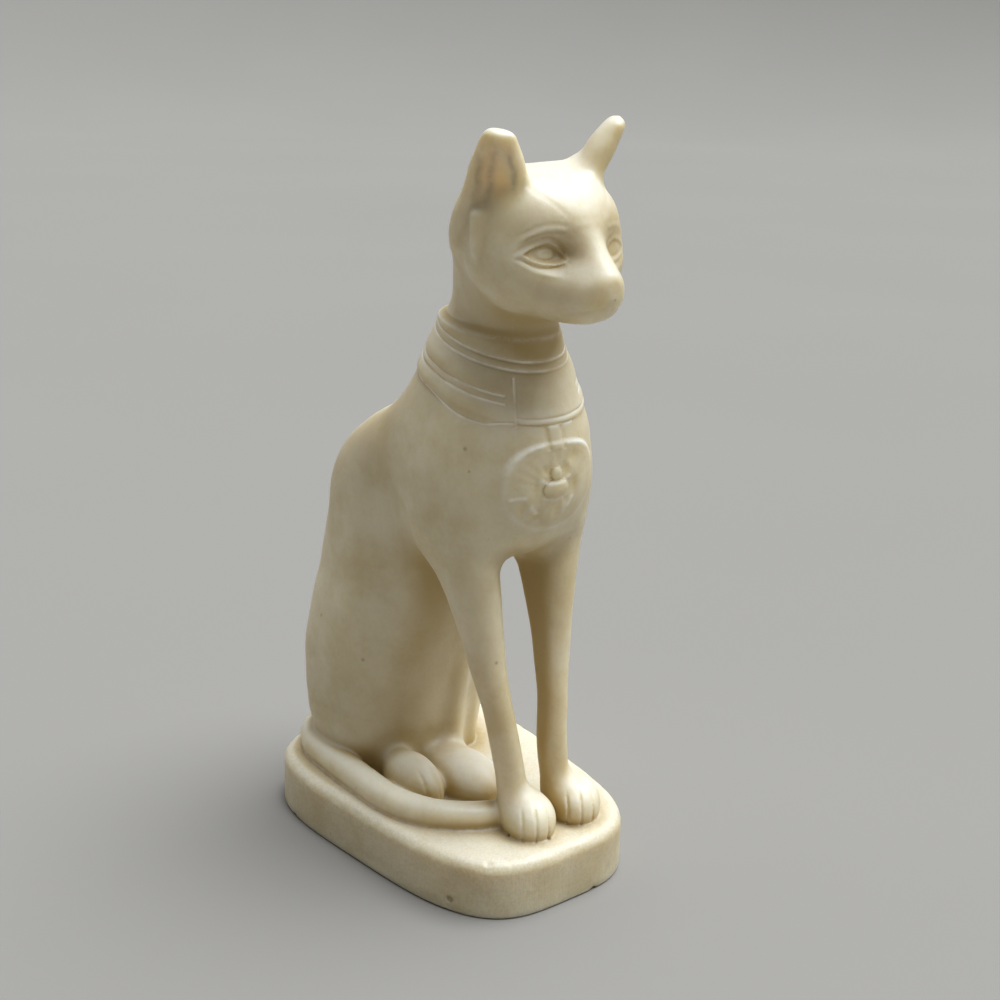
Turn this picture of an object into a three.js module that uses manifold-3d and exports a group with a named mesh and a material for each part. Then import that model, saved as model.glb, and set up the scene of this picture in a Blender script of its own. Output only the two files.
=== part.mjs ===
// A seated cat of carved alabaster, of one piece with the low plinth that it sits on.
// Millimetres, +Z up. The cat faces -Y and its right side is -X.
// The origin is at the middle of the plinth's flat underside.
import * as THREE from 'three';
import Module from 'manifold-3d';

// Driving dimensions, in millimetres.
const FIGURE_HEIGHT = 184;       // from the plinth's top to the right ear's tip
const PLINTH_LENGTH = 102.5;
const PLINTH_WIDTH = 70;         // halfway along
const PLINTH_HEIGHT = 16;
const PLINTH_TAPER = 0.132;      // how much wider the back end is than the middle, as a share
const PLINTH_CORNERS = 3.6;      // 2 would be an oval, a high number a square
const PLINTH_TOP_ROUND = 3.2;
const PLINTH_FOOT_ROUND = 0.9;
const TOE_SETBACK = 5.85;        // from the plinth's front edge to the forepaws
const SINK = 1.2;                // how far the figure runs down into the plinth
const COLLAR_GROOVE_WIDTH = 1.5;
const COLLAR_GROOVE_DEPTH = 0.55;
const PECTORAL_WIDTH = 28.5;
const PECTORAL_HEIGHT = 23;
const PECTORAL_RELIEF = 1.1;

// How finely the carved form is worked out.
const SCULPT_STEP = 1.1;
const SCULPT_TRIANGLES = 8300;
const OUTLINE_POINTS = 64;
const ROUND_STEPS = 4;
const SAMPLE_BLOCK = 6;
const BLOCK_MARGIN = 1.35;       // how far off the surface a block has to be to be skipped
const BARELY_INSIDE = -1e-3;
const PLACE_PULL = 1e-3;         // how strongly a joined point keeps to its edge's middle
const EDGE_COST = 1e-4;          // what an edge's length adds to the cost of joining its ends
const LEAST_AGREEMENT = 0.3;     // how far a triangle may turn when its corner moves
const LEAST_ROUNDNESS = 0.06;    // no thinner triangles than this are made

// The figure's proportions are in hundredths of its own height, from the plinth's top up.
const UNIT = FIGURE_HEIGHT / 100;
const GROOVE_WIDTH = COLLAR_GROOVE_WIDTH / UNIT;
const GROOVE_DEPTH = COLLAR_GROOVE_DEPTH / UNIT;

// Small tools for forms that are given by their distance: negative inside, positive outside.

function clamp(value, low, high) {
  return Math.min(Math.max(value, low), high);
}

function smoothStep(value, low, high) {
  const t = clamp((value - low) / (high - low), 0, 1);
  return t * t * (3 - 2 * t);
}

// Joins two forms with a soft valley between them.
function blend(a, b, softness) {
  const h = Math.max(softness - Math.abs(a - b), 0) / softness;
  return Math.min(a, b) - h * h * softness * 0.25;
}

// Keeps what is in both forms, with a soft edge.
function meet(a, b, softness) {
  return -blend(-a, -b, softness);
}

// A smooth curve through given values, which never swings past them.
function curveThrough(stations, column) {
  const t = stations.map((row) => row[0]);
  const v = stations.map((row) => row[column]);
  const last = t.length - 1;
  const rise = [];
  for (let i = 0; i < last; i += 1) {
    rise.push((v[i + 1] - v[i]) / (t[i + 1] - t[i]));
  }
  const slope = v.map((_, i) => {
    if (i === 0) return rise[0];
    if (i === last) return rise[last - 1];
    if (rise[i - 1] * rise[i] <= 0) return 0;
    return (2 * rise[i - 1] * rise[i]) / (rise[i - 1] + rise[i]);
  });
  return (at) => {
    const p = clamp(at, t[0], t[last]);
    let i = 0;
    while (i < last - 1 && p > t[i + 1]) i += 1;
    const span = t[i + 1] - t[i];
    const s = (p - t[i]) / span;
    const r = 1 - s;
    return v[i] * (1 + 2 * s) * r * r + slope[i] * span * s * r * r
      + v[i + 1] * s * s * (3 - 2 * s) - slope[i + 1] * span * s * s * r;
  };
}

// An ellipsoid, leaning forwards or back about a level axis.
function ellipsoid([cx, cy, cz], [rx, ry, rz], lean = 0) {
  const c = Math.cos(lean);
  const s = Math.sin(lean);
  return (x, y, z) => {
    const dy = y - cy;
    const dz = z - cz;
    const u = x - cx;
    const v = c * dy + s * dz;
    const w = -s * dy + c * dz;
    const k0 = Math.hypot(u / rx, v / ry, w / rz);
    const k1 = Math.max(Math.hypot(u / (rx * rx), v / (ry * ry), w / (rz * rz)), 1e-9);
    return (k0 * (k0 - 1)) / k1;
  };
}

// A rod between two points, thicker or thinner towards its end.
function rod(x, y, z, a, b) {
  const dx = b[0] - a[0];
  const dy = b[1] - a[1];
  const dz = b[2] - a[2];
  const along = (x - a[0]) * dx + (y - a[1]) * dy + (z - a[2]) * dz;
  const t = clamp(along / (dx * dx + dy * dy + dz * dz), 0, 1);
  const away = Math.hypot(x - a[0] - t * dx, y - a[1] - t * dy, z - a[2] - t * dz);
  return away - (a[3] + (b[3] - a[3]) * t);
}

// A column whose level sections are rounded oblongs, from rows of
// height, back, front and half width. The back of each section may be fuller.
function column(rows, corners, fuller = 0) {
  const back = curveThrough(rows, 1);
  const front = curveThrough(rows, 2);
  const half = curveThrough(rows, 3);
  return (x, y, z) => {
    const middle = (back(z) + front(z)) / 2;
    const deep = (back(z) - front(z)) / 2;
    const wide = half(z) * (1 + fuller * clamp((y - middle) / deep, -1.2, 1.2));
    const u = Math.abs(x) / wide;
    const v = Math.abs(y - middle) / deep;
    const k = (u ** corners + v ** corners) ** (1 / corners);
    const tilt = Math.hypot(u ** (corners - 1) / wide, v ** (corners - 1) / deep);
    const steep = tilt / Math.max(k, 1e-3) ** (corners - 1);
    return 0.93 * Math.max((k - 1) / Math.max(steep, 1 / 30), -Math.min(wide, deep));
  };
}

// A limb whose sections are ovals, from rows of place along it, side, front-back,
// half width and half depth.
function limb(rows, softEnd) {
  const side = curveThrough(rows, 1);
  const fore = curveThrough(rows, 2);
  const wide = curveThrough(rows, 3);
  const deep = curveThrough(rows, 4);
  const start = rows[0][0];
  const end = rows[rows.length - 1][0];
  return (x, y, z) => {
    const rx = wide(z);
    const ry = deep(z);
    const u = (x - side(z)) / rx;
    const v = (y - fore(z)) / ry;
    const k = Math.hypot(u, v);
    const steep = Math.max(Math.hypot(u / rx, v / ry), 1e-4);
    const round = k < 0.2 ? -Math.min(rx, ry) : (k * (k - 1)) / steep;
    return meet(round * 0.93, Math.max(z - end, start - z), softEnd);
  };
}

// The body, in hundredths of the figure's height.

const HAUNCHES = column([
  [-4, 22.8, 4.6, 11.8],
  [2, 24.3, 4.6, 12.9],
  [9, 25.9, 4.3, 14.2],
  [17, 26.3, 3.5, 14.5],
  [25, 26.0, 2.0, 13.6],
  [33, 25.2, -0.2, 12.1],
  [42, 24.2, -4.0, 11.4],
  [52, 23.3, -7.2, 11.5],
  [64, 22.0, -9.0, 11.4],
], 2.5, 0.08);
const HAUNCHES_ASIDE = -1.2;     // the carver set the haunches a little to the cat's right

const NECK_AND_CHEST = column([
  [36, 4.0, -11.5, 11.0],
  [41, 5.0, -15.8, 12.2],
  [46, 6.2, -19.0, 12.8],
  [52, 6.8, -20.5, 13.0],
  [58, 6.4, -20.2, 12.4],
  [63, 5.2, -18.5, 11.1],
  [68, 3.7, -16.6, 9.3],
  [72, 1.5, -15.4, 7.4],
  [76, -0.4, -14.9, 6.6],
  [80, -1.0, -15.0, 6.9],
  [85, -1.8, -15.2, 7.7],
  [90, -3.0, -15.2, 8.2],
], 2.15);

const FORELEG = limb([
  [-3, 4.2, -16.4, 2.6, 2.9],
  [3, 4.15, -16.3, 2.4, 2.6],
  [8, 4.05, -15.9, 2.15, 2.3],
  [17.5, 4.95, -15.2, 2.15, 2.35],
  [26, 6, -13.5, 2.6, 3.1],
  [34, 6.7, -11.5, 3.4, 4.5],
  [42, 7.6, -9.2, 4.4, 6.4],
  [50, 7.9, -7.2, 4.6, 7.6],
  [60, 7.4, -6, 4, 7],
], 7);
const ANKLES_ASIDE = 2.4;        // both forelegs bend towards the cat's left below the knee
const BEND_HEIGHT = 26;

function forelegs(x, y, z) {
  const below = clamp(1 - z / BEND_HEIGHT, 0, 1);
  return FORELEG(Math.abs(x - ANKLES_ASIDE * below * below), y, z);
}

// How softly the forms run into each other.
const SEAMS = {
  back: 9, chestFoot: 7, neckTop: 3, body: 3.5, flank: 4, forelegs: 3, paws: 1.8, hindFeet: 1.1,
  tail: 0.8, throat: 5, nape: 1.6, crown: 5, brow: 3, cheek: 3, jaw: 3, muzzle: 4.5, bridge: 3.5,
  earFoot: 2, ears: 1.8, earHollow: 0.7,
};

// The back slopes down from the neck and rounds over into the rump.
const BACK_SLOPE = new THREE.Vector3(0, 0.47, 0.88).normalize();
const BACK_AT = new THREE.Vector3(0, 15, 55.8);
const CHEST_FOOT = 39;
const NECK_TOP = 86;
const FLANK_HOLLOW = ellipsoid([15.2, 1.5, 33], [2.8, 6.5, 15], -0.14);

function trunk(x, y, z) {
  const slope = (y - BACK_AT.y) * BACK_SLOPE.y + (z - BACK_AT.z) * BACK_SLOPE.z;
  const rear = meet(HAUNCHES(x - HAUNCHES_ASIDE, y, z), slope, SEAMS.back);
  const chest = meet(NECK_AND_CHEST(x, y, z), CHEST_FOOT - z, SEAMS.chestFoot);
  const front = meet(chest, z - NECK_TOP, SEAMS.neckTop);
  return meet(blend(rear, front, SEAMS.body), -FLANK_HOLLOW(Math.abs(x), y, z), SEAMS.flank);
}

// Forepaws, turned a little to the cat's right, with grooves between three toes.
const PAWS = { aside: 2.8, apart: 4.25, fore: -18.85, up: 1.7, wide: 3.85, long: 4.6, high: 3.8 };
const PAW_TURN = THREE.MathUtils.degToRad(28);
const TOE_PLACES = [-0.36, 0.36];
const TOE_GROOVE = { wide: 0.42, deep: 0.55 };
const PAW = ellipsoid([0, 0, PAWS.up], [PAWS.wide, PAWS.long, PAWS.high]);

function paws(x, y, z) {
  const side = Math.abs(x - PAWS.aside) - PAWS.apart;
  const dx = x < PAWS.aside ? -side : side;
  const dy = y - PAWS.fore;
  const across = Math.cos(PAW_TURN) * dx - Math.sin(PAW_TURN) * dy;
  const back = Math.sin(PAW_TURN) * dx + Math.cos(PAW_TURN) * dy;
  let groove = 0;
  for (const place of TOE_PLACES) {
    const off = across - place * PAWS.wide;
    groove = Math.max(groove, Math.exp(-((off / TOE_GROOVE.wide) ** 2)));
  }
  return PAW(across, back, z) + groove * TOE_GROOVE.deep * smoothStep(-back, 0.4, 2.6);
}

const RIGHT_HIND_PAW = ellipsoid([-9.1, -0.3, 1.4], [3.6, 6.2, 4.9]);
const LEFT_HIND_PAW = ellipsoid([-0.8, -1.6, 0.8], [5.2, 8, 3.9]);

// The tail leaves the rump behind, lies along the cat's right side and ends at the forepaw.
const TAIL_ROUTE = new THREE.CatmullRomCurve3([
  [-1, 22, 2.2], [-6, 24.6, 2], [-11, 24, 1.8], [-14, 19.5, 1.7], [-14.7, 12, 1.6],
  [-14.8, 4, 1.6], [-14.5, -3, 1.6], [-12.2, -9, 1.5], [-7.8, -13, 1.4], [-3, -15, 1.2],
].map((p) => new THREE.Vector3(...p)), false, 'centripetal');
const TAIL_PIECES = 26;
const TAIL_ROOT_RADIUS = 2.45;
const TAIL_TIP_RADIUS = 2.1;
const TAIL = TAIL_ROUTE.getSpacedPoints(TAIL_PIECES).map((p, i) => {
  const share = i / TAIL_PIECES;
  return [p.x, p.y, p.z, TAIL_ROOT_RADIUS + (TAIL_TIP_RADIUS - TAIL_ROOT_RADIUS) * share];
});
const TAIL_REACH = 9;            // higher than this the tail is too far away to matter

function tail(x, y, z) {
  if (z > TAIL_REACH) return z - TAIL_REACH / 2;
  let nearest = Infinity;
  for (let i = 0; i < TAIL_PIECES; i += 1) {
    nearest = Math.min(nearest, rod(x, y, z, TAIL[i], TAIL[i + 1]));
  }
  return nearest;
}

// The head.

const EAR_AT = new THREE.Vector3(7.9, -14.6, 90.5);
const EAR_ALONG = new THREE.Vector3(0.16, -0.31, 0.94).normalize();
const EAR_ACROSS = new THREE.Vector3(-0.54, -0.84, 0);
EAR_ACROSS.addScaledVector(EAR_ALONG, -EAR_ACROSS.dot(EAR_ALONG)).normalize();
const EAR_THROUGH = new THREE.Vector3().crossVectors(EAR_ALONG, EAR_ACROSS);
const EAR_SHELL = limb([
  [-8.5, -3.4, -0.3, 1.2, 1.1],
  [-6, -3.1, 0, 1.9, 1.6],
  [-3, -2, -0.2, 2.8, 1.8],
  [0, 0.2, -0.3, 4.2, 2.1],
  [3, 0.6, -0.1, 4.0, 2.1],
  [5.5, 0.6, 0, 3.4, 2.0],
  [8, 0.5, 0.2, 2.3, 1.6],
  [9.6, 0.6, 0.5, 1.4, 1.1],
], 1.2);
const EAR_HOLLOW = ellipsoid([0.4, 2.9, 2.3], [3.1, 2.4, 5.8]);
const EAR_OPENING = Math.sign(EAR_THROUGH.x);
// The left ear is longer, leans out more and stands nearer the middle.
const LEFT_EAR = { longer: 1.14, out: 0.22, nearer: 1.3 };
const LEFT_EAR_FOOT = [[2.5, -14, 91.6, 2.5], [6.6, -14.2, 93.2, 1.9]];

function ears(x, y, z) {
  const p = new THREE.Vector3(Math.abs(x), y, z).sub(EAR_AT);
  if (x > 0) {
    const above = Math.max(p.z, 0);
    p.x += LEFT_EAR.nearer - LEFT_EAR.out * above;
    p.z -= above * (1 - 1 / LEFT_EAR.longer);
  }
  const across = p.dot(EAR_ACROSS);
  const through = p.dot(EAR_THROUGH) * EAR_OPENING;
  const along = p.dot(EAR_ALONG);
  const shell = EAR_SHELL(across, through, along);
  return meet(shell, -EAR_HOLLOW(across, through, along), SEAMS.earHollow);
}

// The eyes' and brows' lines, from the bridge outwards: distance from the middle, height.
const UPPER_LID = curveThrough([
  [2.9, 83.9], [3.5, 84.8], [4.3, 85.4], [5.3, 85.8], [6.4, 85.6], [7.5, 85.1], [8.5, 84.4], [9.4, 83.6],
], 1);
const LOWER_LID = curveThrough([
  [2.9, 83.9], [3.4, 83.4], [4.5, 83.1], [6, 83.2], [7.2, 83.55], [8.3, 84.1],
], 1);
const BROW = curveThrough([
  [0, 88.2], [2.6, 87.7], [3.5, 87.4], [4.7, 87.55], [5.8, 87.45], [7.5, 86.75], [9.2, 85.6],
], 1);
const SOCKET = { side: 4.7, up: 84.6, wide: 3.2, high: 2.3, deep: 1.1 };
const EYEBALL = { side: 5.45, up: 84.42, wide: 1.9, high: 1.1, proud: 0.35 };
const LID = { wide: 0.4, proud: 0.3 };
const BROW_RIDGE = { wide: 0.45, proud: 0.3 };
const EYE_ENDS = [2.4, 3.4, 8.8, 9.9];

// 1 on a line and 0 well clear of it, from the distance to the line.
function ridge(away, halfWidth) {
  return Math.exp(-((away / halfWidth) ** 2));
}

// How far the eyes and brows stand out of the face.
function eyeRelief(x, z) {
  const side = Math.abs(x);
  const [innerStart, innerEnd, outerStart, outerEnd] = EYE_ENDS;
  const ends = smoothStep(side, innerStart, innerEnd) * (1 - smoothStep(side, outerStart, outerEnd));
  const socket = Math.hypot((side - SOCKET.side) / SOCKET.wide, (z - SOCKET.up) / SOCKET.high);
  const ball = Math.hypot((side - EYEBALL.side) / EYEBALL.wide, (z - EYEBALL.up) / EYEBALL.high);
  const lids = ridge(z - UPPER_LID(side), LID.wide) + ridge(z - LOWER_LID(side), LID.wide);
  const brow = ridge(z - BROW(side), BROW_RIDGE.wide) * ends;
  return -SOCKET.deep * ridge(socket, 1) + EYEBALL.proud * Math.sqrt(Math.max(1 - ball * ball, 0))
    + LID.proud * lids * ends + BROW_RIDGE.proud * brow;
}

const SKULL = ellipsoid([0, -13.4, 85.7], [10.2, 11.4, 10.2], 0.105);
const CROWN_TOP = 95.4;
const CROWN_RISE = 0.06;         // the crown is a little higher on the cat's left
const BROW_BONE = ellipsoid([3.5, -18.4, 88], [4.5, 4.8, 3.8]);
const CHEEK = ellipsoid([5, -17.3, 82.2], [5.2, 6.4, 6]);
const JAW = ellipsoid([0, -19.8, 79.5], [4.5, 6, 3.9]);
const MUZZLE = ellipsoid([0, -24.5, 79.5], [3.85, 5.1, 3.4], 0.175);
const BRIDGE = [[0, -22, 86.6, 2.6], [0, -27.2, 80.8, 1.9]];
const FACE_START = 15;           // how far forward of the middle the carving of the face begins
const FACE_FULL = 18.5;

function head(x, y, z) {
  const side = Math.abs(x);
  let form = meet(SKULL(side, y, z), z - CROWN_TOP - CROWN_RISE * x, SEAMS.crown);
  form = blend(form, BROW_BONE(side, y, z), SEAMS.brow);
  form = blend(form, CHEEK(side, y, z), SEAMS.cheek);
  form = blend(form, rod(x, y, z, ...LEFT_EAR_FOOT), SEAMS.earFoot);
  form = blend(form, JAW(x, y, z), SEAMS.jaw);
  form = blend(form, MUZZLE(x, y, z), SEAMS.muzzle);
  form = blend(form, rod(x, y, z, ...BRIDGE), SEAMS.bridge);
  if (-y > FACE_START) form -= eyeRelief(x, z) * smoothStep(-y, FACE_START, FACE_FULL);
  return blend(form, ears(x, y, z), SEAMS.ears);
}

// The broad collar stands proud of the neck at its top edge and dies into the shoulders.
// Its rows are level at the front and rise towards the nape.
const COLLAR = { front: -16.5, rise: 0.27, top: 72, topFall: 0.14, foot: 61.6, thin: 0.2 };
const COLLAR_PROUD = 1.25;
const COLLAR_PROUD_IN_FRONT = 0.55;
const COLLAR_SIDES = [-14.5, -4]; // from where to where it grows proud, going back
const COLLAR_EDGE = 0.45;
const COLLAR_ROWS = [68.35, 64.2];
const COLLAR_PANEL_HALF = 5.6;   // the plain panel in front, which the second row stops at
const CHEST_FACE = -9;           // what is carved on the chest lies in front of this

function collarRelief(x, y, z) {
  const row = z - COLLAR.rise * (y - COLLAR.front);
  if (row < COLLAR.foot - 3 || row > COLLAR.top + 6) return 0;
  const topEdge = COLLAR.top - COLLAR.topFall * (y - COLLAR.front);
  const share = clamp((row - COLLAR.foot) / (COLLAR.top - COLLAR.foot), 0, 1);
  const behind = smoothStep(y, ...COLLAR_SIDES);
  const proud = COLLAR_PROUD_IN_FRONT + (COLLAR_PROUD - COLLAR_PROUD_IN_FRONT) * behind;
  const thick = COLLAR.thin + (proud - COLLAR.thin) * share;
  const band = smoothStep(row, COLLAR.foot - COLLAR_EDGE, COLLAR.foot + COLLAR_EDGE);
  const below = 1 - smoothStep(row, topEdge - COLLAR_EDGE, topEdge + COLLAR_EDGE);
  const groove = (at) => ridge(row - at, GROOVE_WIDTH / 2) * GROOVE_DEPTH;
  const past = smoothStep(Math.abs(x), COLLAR_PANEL_HALF, COLLAR_PANEL_HALF + 0.8);
  const grooves = groove(COLLAR_ROWS[0]) + groove(COLLAR_ROWS[1]) * (y > CHEST_FACE ? 1 : past);
  return grooves + groove(COLLAR.foot) - thick * band * below;
}

// The pectoral hangs at the chest: an oval plate with a small winged figure on it.
const PECTORAL = {
  up: 52.2,
  half: PECTORAL_WIDTH / UNIT / 2,
  high: PECTORAL_HEIGHT / UNIT / 2,
  raise: PECTORAL_RELIEF / UNIT,
};

const BODY_AT = { down: 0.06, wide: 0.17, high: 0.42, proud: 0.5 };
const WINGS_AT = { up: 0.35, bow: 0.52, wide: 0.13, proud: 0.4 };
const PLATE_PROUD = 0.55;

function pectoralRelief(x, y, z) {
  if (y > CHEST_FACE) return 0;
  const u = x / PECTORAL.half;
  const v = (z - PECTORAL.up) / PECTORAL.high;
  const out = Math.hypot(u, v);
  if (out > 1.3) return 0;
  const plate = (1 - smoothStep(out, 0.9, 1.05)) * PLATE_PROUD;
  const inBody = Math.hypot(u / BODY_AT.wide, (v + BODY_AT.down) / BODY_AT.high);
  const body = (1 - smoothStep(inBody, 0.7, 1.2)) * BODY_AT.proud;
  const bow = ridge(Math.hypot(u, v - WINGS_AT.up) - WINGS_AT.bow, WINGS_AT.wide);
  const wing = bow * (1 - smoothStep(v, 0.25, 0.5)) * WINGS_AT.proud;
  return -(plate + Math.max(body, wing)) * PECTORAL.raise;
}

// The whole figure in hundredths of its height.

const THROAT_HEIGHTS = [75, 82]; // the seam under the head grows close between these

function figure(x, y, z) {
  let form = trunk(x, y, z) + collarRelief(x, y, z) + pectoralRelief(x, y, z);
  form = blend(form, forelegs(x, y, z), SEAMS.forelegs);
  form = blend(form, paws(x, y, z), SEAMS.paws);
  form = blend(form, Math.min(RIGHT_HIND_PAW(x, y, z), LEFT_HIND_PAW(x, y, z)), SEAMS.hindFeet);
  form = blend(form, tail(x, y, z), SEAMS.tail);
  const throat = (1 - smoothStep(z, ...THROAT_HEIGHTS)) * smoothStep(-y, 2, 12);
  return blend(form, head(x, y, z), SEAMS.nape + (SEAMS.throat - SEAMS.nape) * throat);
}

// From the figure's form to a closed mesh.

// Works out the form on a grid, in millimetres. Blocks that lie clear of the surface
// are filled with the value at their middle.
function sampleForm(low, high, step) {
  const count = [0, 1, 2].map((k) => Math.ceil((high[k] - low[k]) / step) + 1);
  const [nx, ny, nz] = count;
  const values = new Float32Array(nx * ny * nz);
  const block = SAMPLE_BLOCK;
  const clear = ((block * step * Math.sqrt(3)) / 2) * BLOCK_MARGIN;
  const at = (i, j, k) => UNIT * figure(
    (low[0] + i * step) / UNIT,
    (low[1] + j * step) / UNIT,
    (low[2] + k * step) / UNIT,
  );
  for (let k0 = 0; k0 < nz; k0 += block) {
    for (let j0 = 0; j0 < ny; j0 += block) {
      for (let i0 = 0; i0 < nx; i0 += block) {
        const middle = at(i0 + block / 2, j0 + block / 2, k0 + block / 2);
        const away = Math.abs(middle) > clear;
        for (let k = k0; k < Math.min(k0 + block, nz); k += 1) {
          for (let j = j0; j < Math.min(j0 + block, ny); j += 1) {
            for (let i = i0; i < Math.min(i0 + block, nx); i += 1) {
              values[(k * ny + j) * nx + i] = away ? middle : at(i, j, k);
            }
          }
        }
      }
    }
  }
  return { values, count };
}

// Cuts the sampled form off flat at the bottom, where the plinth takes over.
function cutFlatBelow(grid, low, step, height) {
  const [nx, ny, nz] = grid.count;
  for (let k = 0; k < nz; k += 1) {
    const below = height - (low[2] + k * step);
    for (let n = k * nx * ny; n < (k + 1) * nx * ny; n += 1) {
      grid.values[n] = Math.max(grid.values[n], below);
    }
  }
}

const CELL_CORNERS = [0, 1, 2, 3, 4, 5, 6, 7].map((n) => [n & 1, (n >> 1) & 1, n >> 2]);
const CELL_EDGES = [];
for (let a = 0; a < 8; a += 1) {
  for (const bit of [1, 2, 4]) {
    if (!(a & bit)) CELL_EDGES.push([a, a | bit]);
  }
}

// True if the marked corners of a cell hang together along its edges.
function inOnePiece(marked) {
  let reached = marked & -marked;
  for (let round = 0; round < 4; round += 1) {
    for (const [a, b] of CELL_EDGES) {
      const both = (1 << a) | (1 << b);
      if ((marked & both) === both && reached & both) reached |= both;
    }
  }
  return reached === marked;
}

const ONE_SHEET = new Array(256).fill(0).map((_, marked) => (
  inOnePiece(marked) && inOnePiece(255 - marked)
));

// Where two sheets of the surface would share a cell, fills the corner between them
// that is nearest to the surface, so that the skin closes as a single sheet.
function partSheets({ values, count: [nx, ny, nz] }) {
  const offsets = CELL_CORNERS.map(([i, j, k]) => i + (j + k * ny) * nx);
  let mixed = true;
  while (mixed) {
    mixed = false;
    for (let base = 0; base < nx * ny * (nz - 1) - nx - 1; base += 1) {
      const marked = offsets.reduce((sum, o, n) => sum + (values[base + o] < 0 ? 1 << n : 0), 0);
      if (ONE_SHEET[marked]) continue;
      const outside = offsets.filter((o) => values[base + o] >= 0);
      const weakest = outside.reduce((a, b) => (values[base + a] < values[base + b] ? a : b));
      values[base + weakest] = BARELY_INSIDE;
      mixed = true;
    }
  }
}

// Puts one point in each cell that the surface passes through, at the middle of its crossings,
// and joins the four cells around each crossed grid line.
function skin(grid, low, step) {
  const [nx, ny, nz] = grid.count;
  const { values } = grid;
  const index = (i, j, k) => (k * ny + j) * nx + i;
  const jump = [1, nx, nx * ny];
  const offsets = CELL_CORNERS.map(([i, j, k]) => i + j * jump[1] + k * jump[2]);
  const pointOf = new Map();
  const points = [];
  for (let k = 0; k < nz - 1; k += 1) {
    for (let j = 0; j < ny - 1; j += 1) {
      for (let i = 0; i < nx - 1; i += 1) {
        const base = index(i, j, k);
        const corner = offsets.map((offset) => values[base + offset]);
        const inside = corner.filter((v) => v < 0).length;
        if (inside === 0 || inside === 8) continue;
        const sum = [0, 0, 0];
        let crossings = 0;
        for (const [a, b] of CELL_EDGES) {
          if (corner[a] < 0 === corner[b] < 0) continue;
          const t = corner[a] / (corner[a] - corner[b]);
          for (let m = 0; m < 3; m += 1) {
            sum[m] += CELL_CORNERS[a][m] + t * (CELL_CORNERS[b][m] - CELL_CORNERS[a][m]);
          }
          crossings += 1;
        }
        pointOf.set(base, points.length);
        points.push([i, j, k].map((n, m) => low[m] + (n + sum[m] / crossings) * step));
      }
    }
  }
  const faces = [];
  for (let k = 1; k < nz - 1; k += 1) {
    for (let j = 1; j < ny - 1; j += 1) {
      for (let i = 1; i < nx - 1; i += 1) {
        const base = index(i, j, k);
        for (let m = 0; m < 3; m += 1) {
          const here = values[base] < 0;
          if (here === values[base + jump[m]] < 0) continue;
          const u = jump[(m + 1) % 3];
          const v = jump[(m + 2) % 3];
          const ring = [base, base - u, base - u - v, base - v].map((n) => pointOf.get(n));
          if (!here) ring.reverse();
          addQuad(points, faces, ring);
        }
      }
    }
  }
  return { points, faces };
}

function spread(a, b) {
  return Math.hypot(a[0] - b[0], a[1] - b[1], a[2] - b[2]);
}

// Splits a four-sided face across its shorter diagonal.
function addQuad(points, faces, [a, b, c, d]) {
  if (spread(points[a], points[c]) < spread(points[b], points[d])) {
    faces.push([a, b, c], [a, c, d]);
  } else {
    faces.push([a, b, d], [b, c, d]);
  }
}

function crossOf(a, b, c) {
  const u = [b[0] - a[0], b[1] - a[1], b[2] - a[2]];
  const v = [c[0] - a[0], c[1] - a[1], c[2] - a[2]];
  return [u[1] * v[2] - u[2] * v[1], u[2] * v[0] - u[0] * v[2], u[0] * v[1] - u[1] * v[0]];
}

// A heap that gives back its cheapest entry first.
class CheapestFirst {
  constructor() {
    this.entries = [];
  }

  add(entry) {
    const e = this.entries;
    let n = e.push(entry) - 1;
    while (n > 0) {
      const parent = (n - 1) >> 1;
      if (e[parent].cost <= e[n].cost) break;
      [e[parent], e[n]] = [e[n], e[parent]];
      n = parent;
    }
  }

  take() {
    const e = this.entries;
    const first = e[0];
    const last = e.pop();
    if (e.length === 0) return first;
    e[0] = last;
    let n = 0;
    for (;;) {
      let child = 2 * n + 1;
      if (child >= e.length) break;
      if (child + 1 < e.length && e[child + 1].cost < e[child].cost) child += 1;
      if (e[n].cost <= e[child].cost) break;
      [e[n], e[child]] = [e[child], e[n]];
      n = child;
    }
    return first;
  }
}

// How far a point is from a set of planes, squared and summed, as ten numbers of a quadric.
function planeQuadric(n, d, weight) {
  const [a, b, c] = n;
  const products = [a * a, a * b, a * c, a * d, b * b, b * c, b * d, c * c, c * d, d * d];
  return products.map((v) => v * weight);
}

function quadricCost(q, [x, y, z]) {
  return q[0] * x * x + 2 * q[1] * x * y + 2 * q[2] * x * z + 2 * q[3] * x
    + q[4] * y * y + 2 * q[5] * y * z + 2 * q[6] * y + q[7] * z * z + 2 * q[8] * z + q[9];
}

// The place that is nearest to all the planes of a quadric, pulled a little to a given point.
function bestPlace(q, near) {
  const pull = PLACE_PULL * (q[0] + q[4] + q[7]);
  const m = new THREE.Matrix3().set(
    q[0] + pull, q[1], q[2],
    q[1], q[4] + pull, q[5],
    q[2], q[5], q[7] + pull,
  );
  const right = new THREE.Vector3(
    pull * near[0] - q[3],
    pull * near[1] - q[6],
    pull * near[2] - q[8],
  );
  return right.applyMatrix3(m.invert()).toArray();
}

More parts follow.
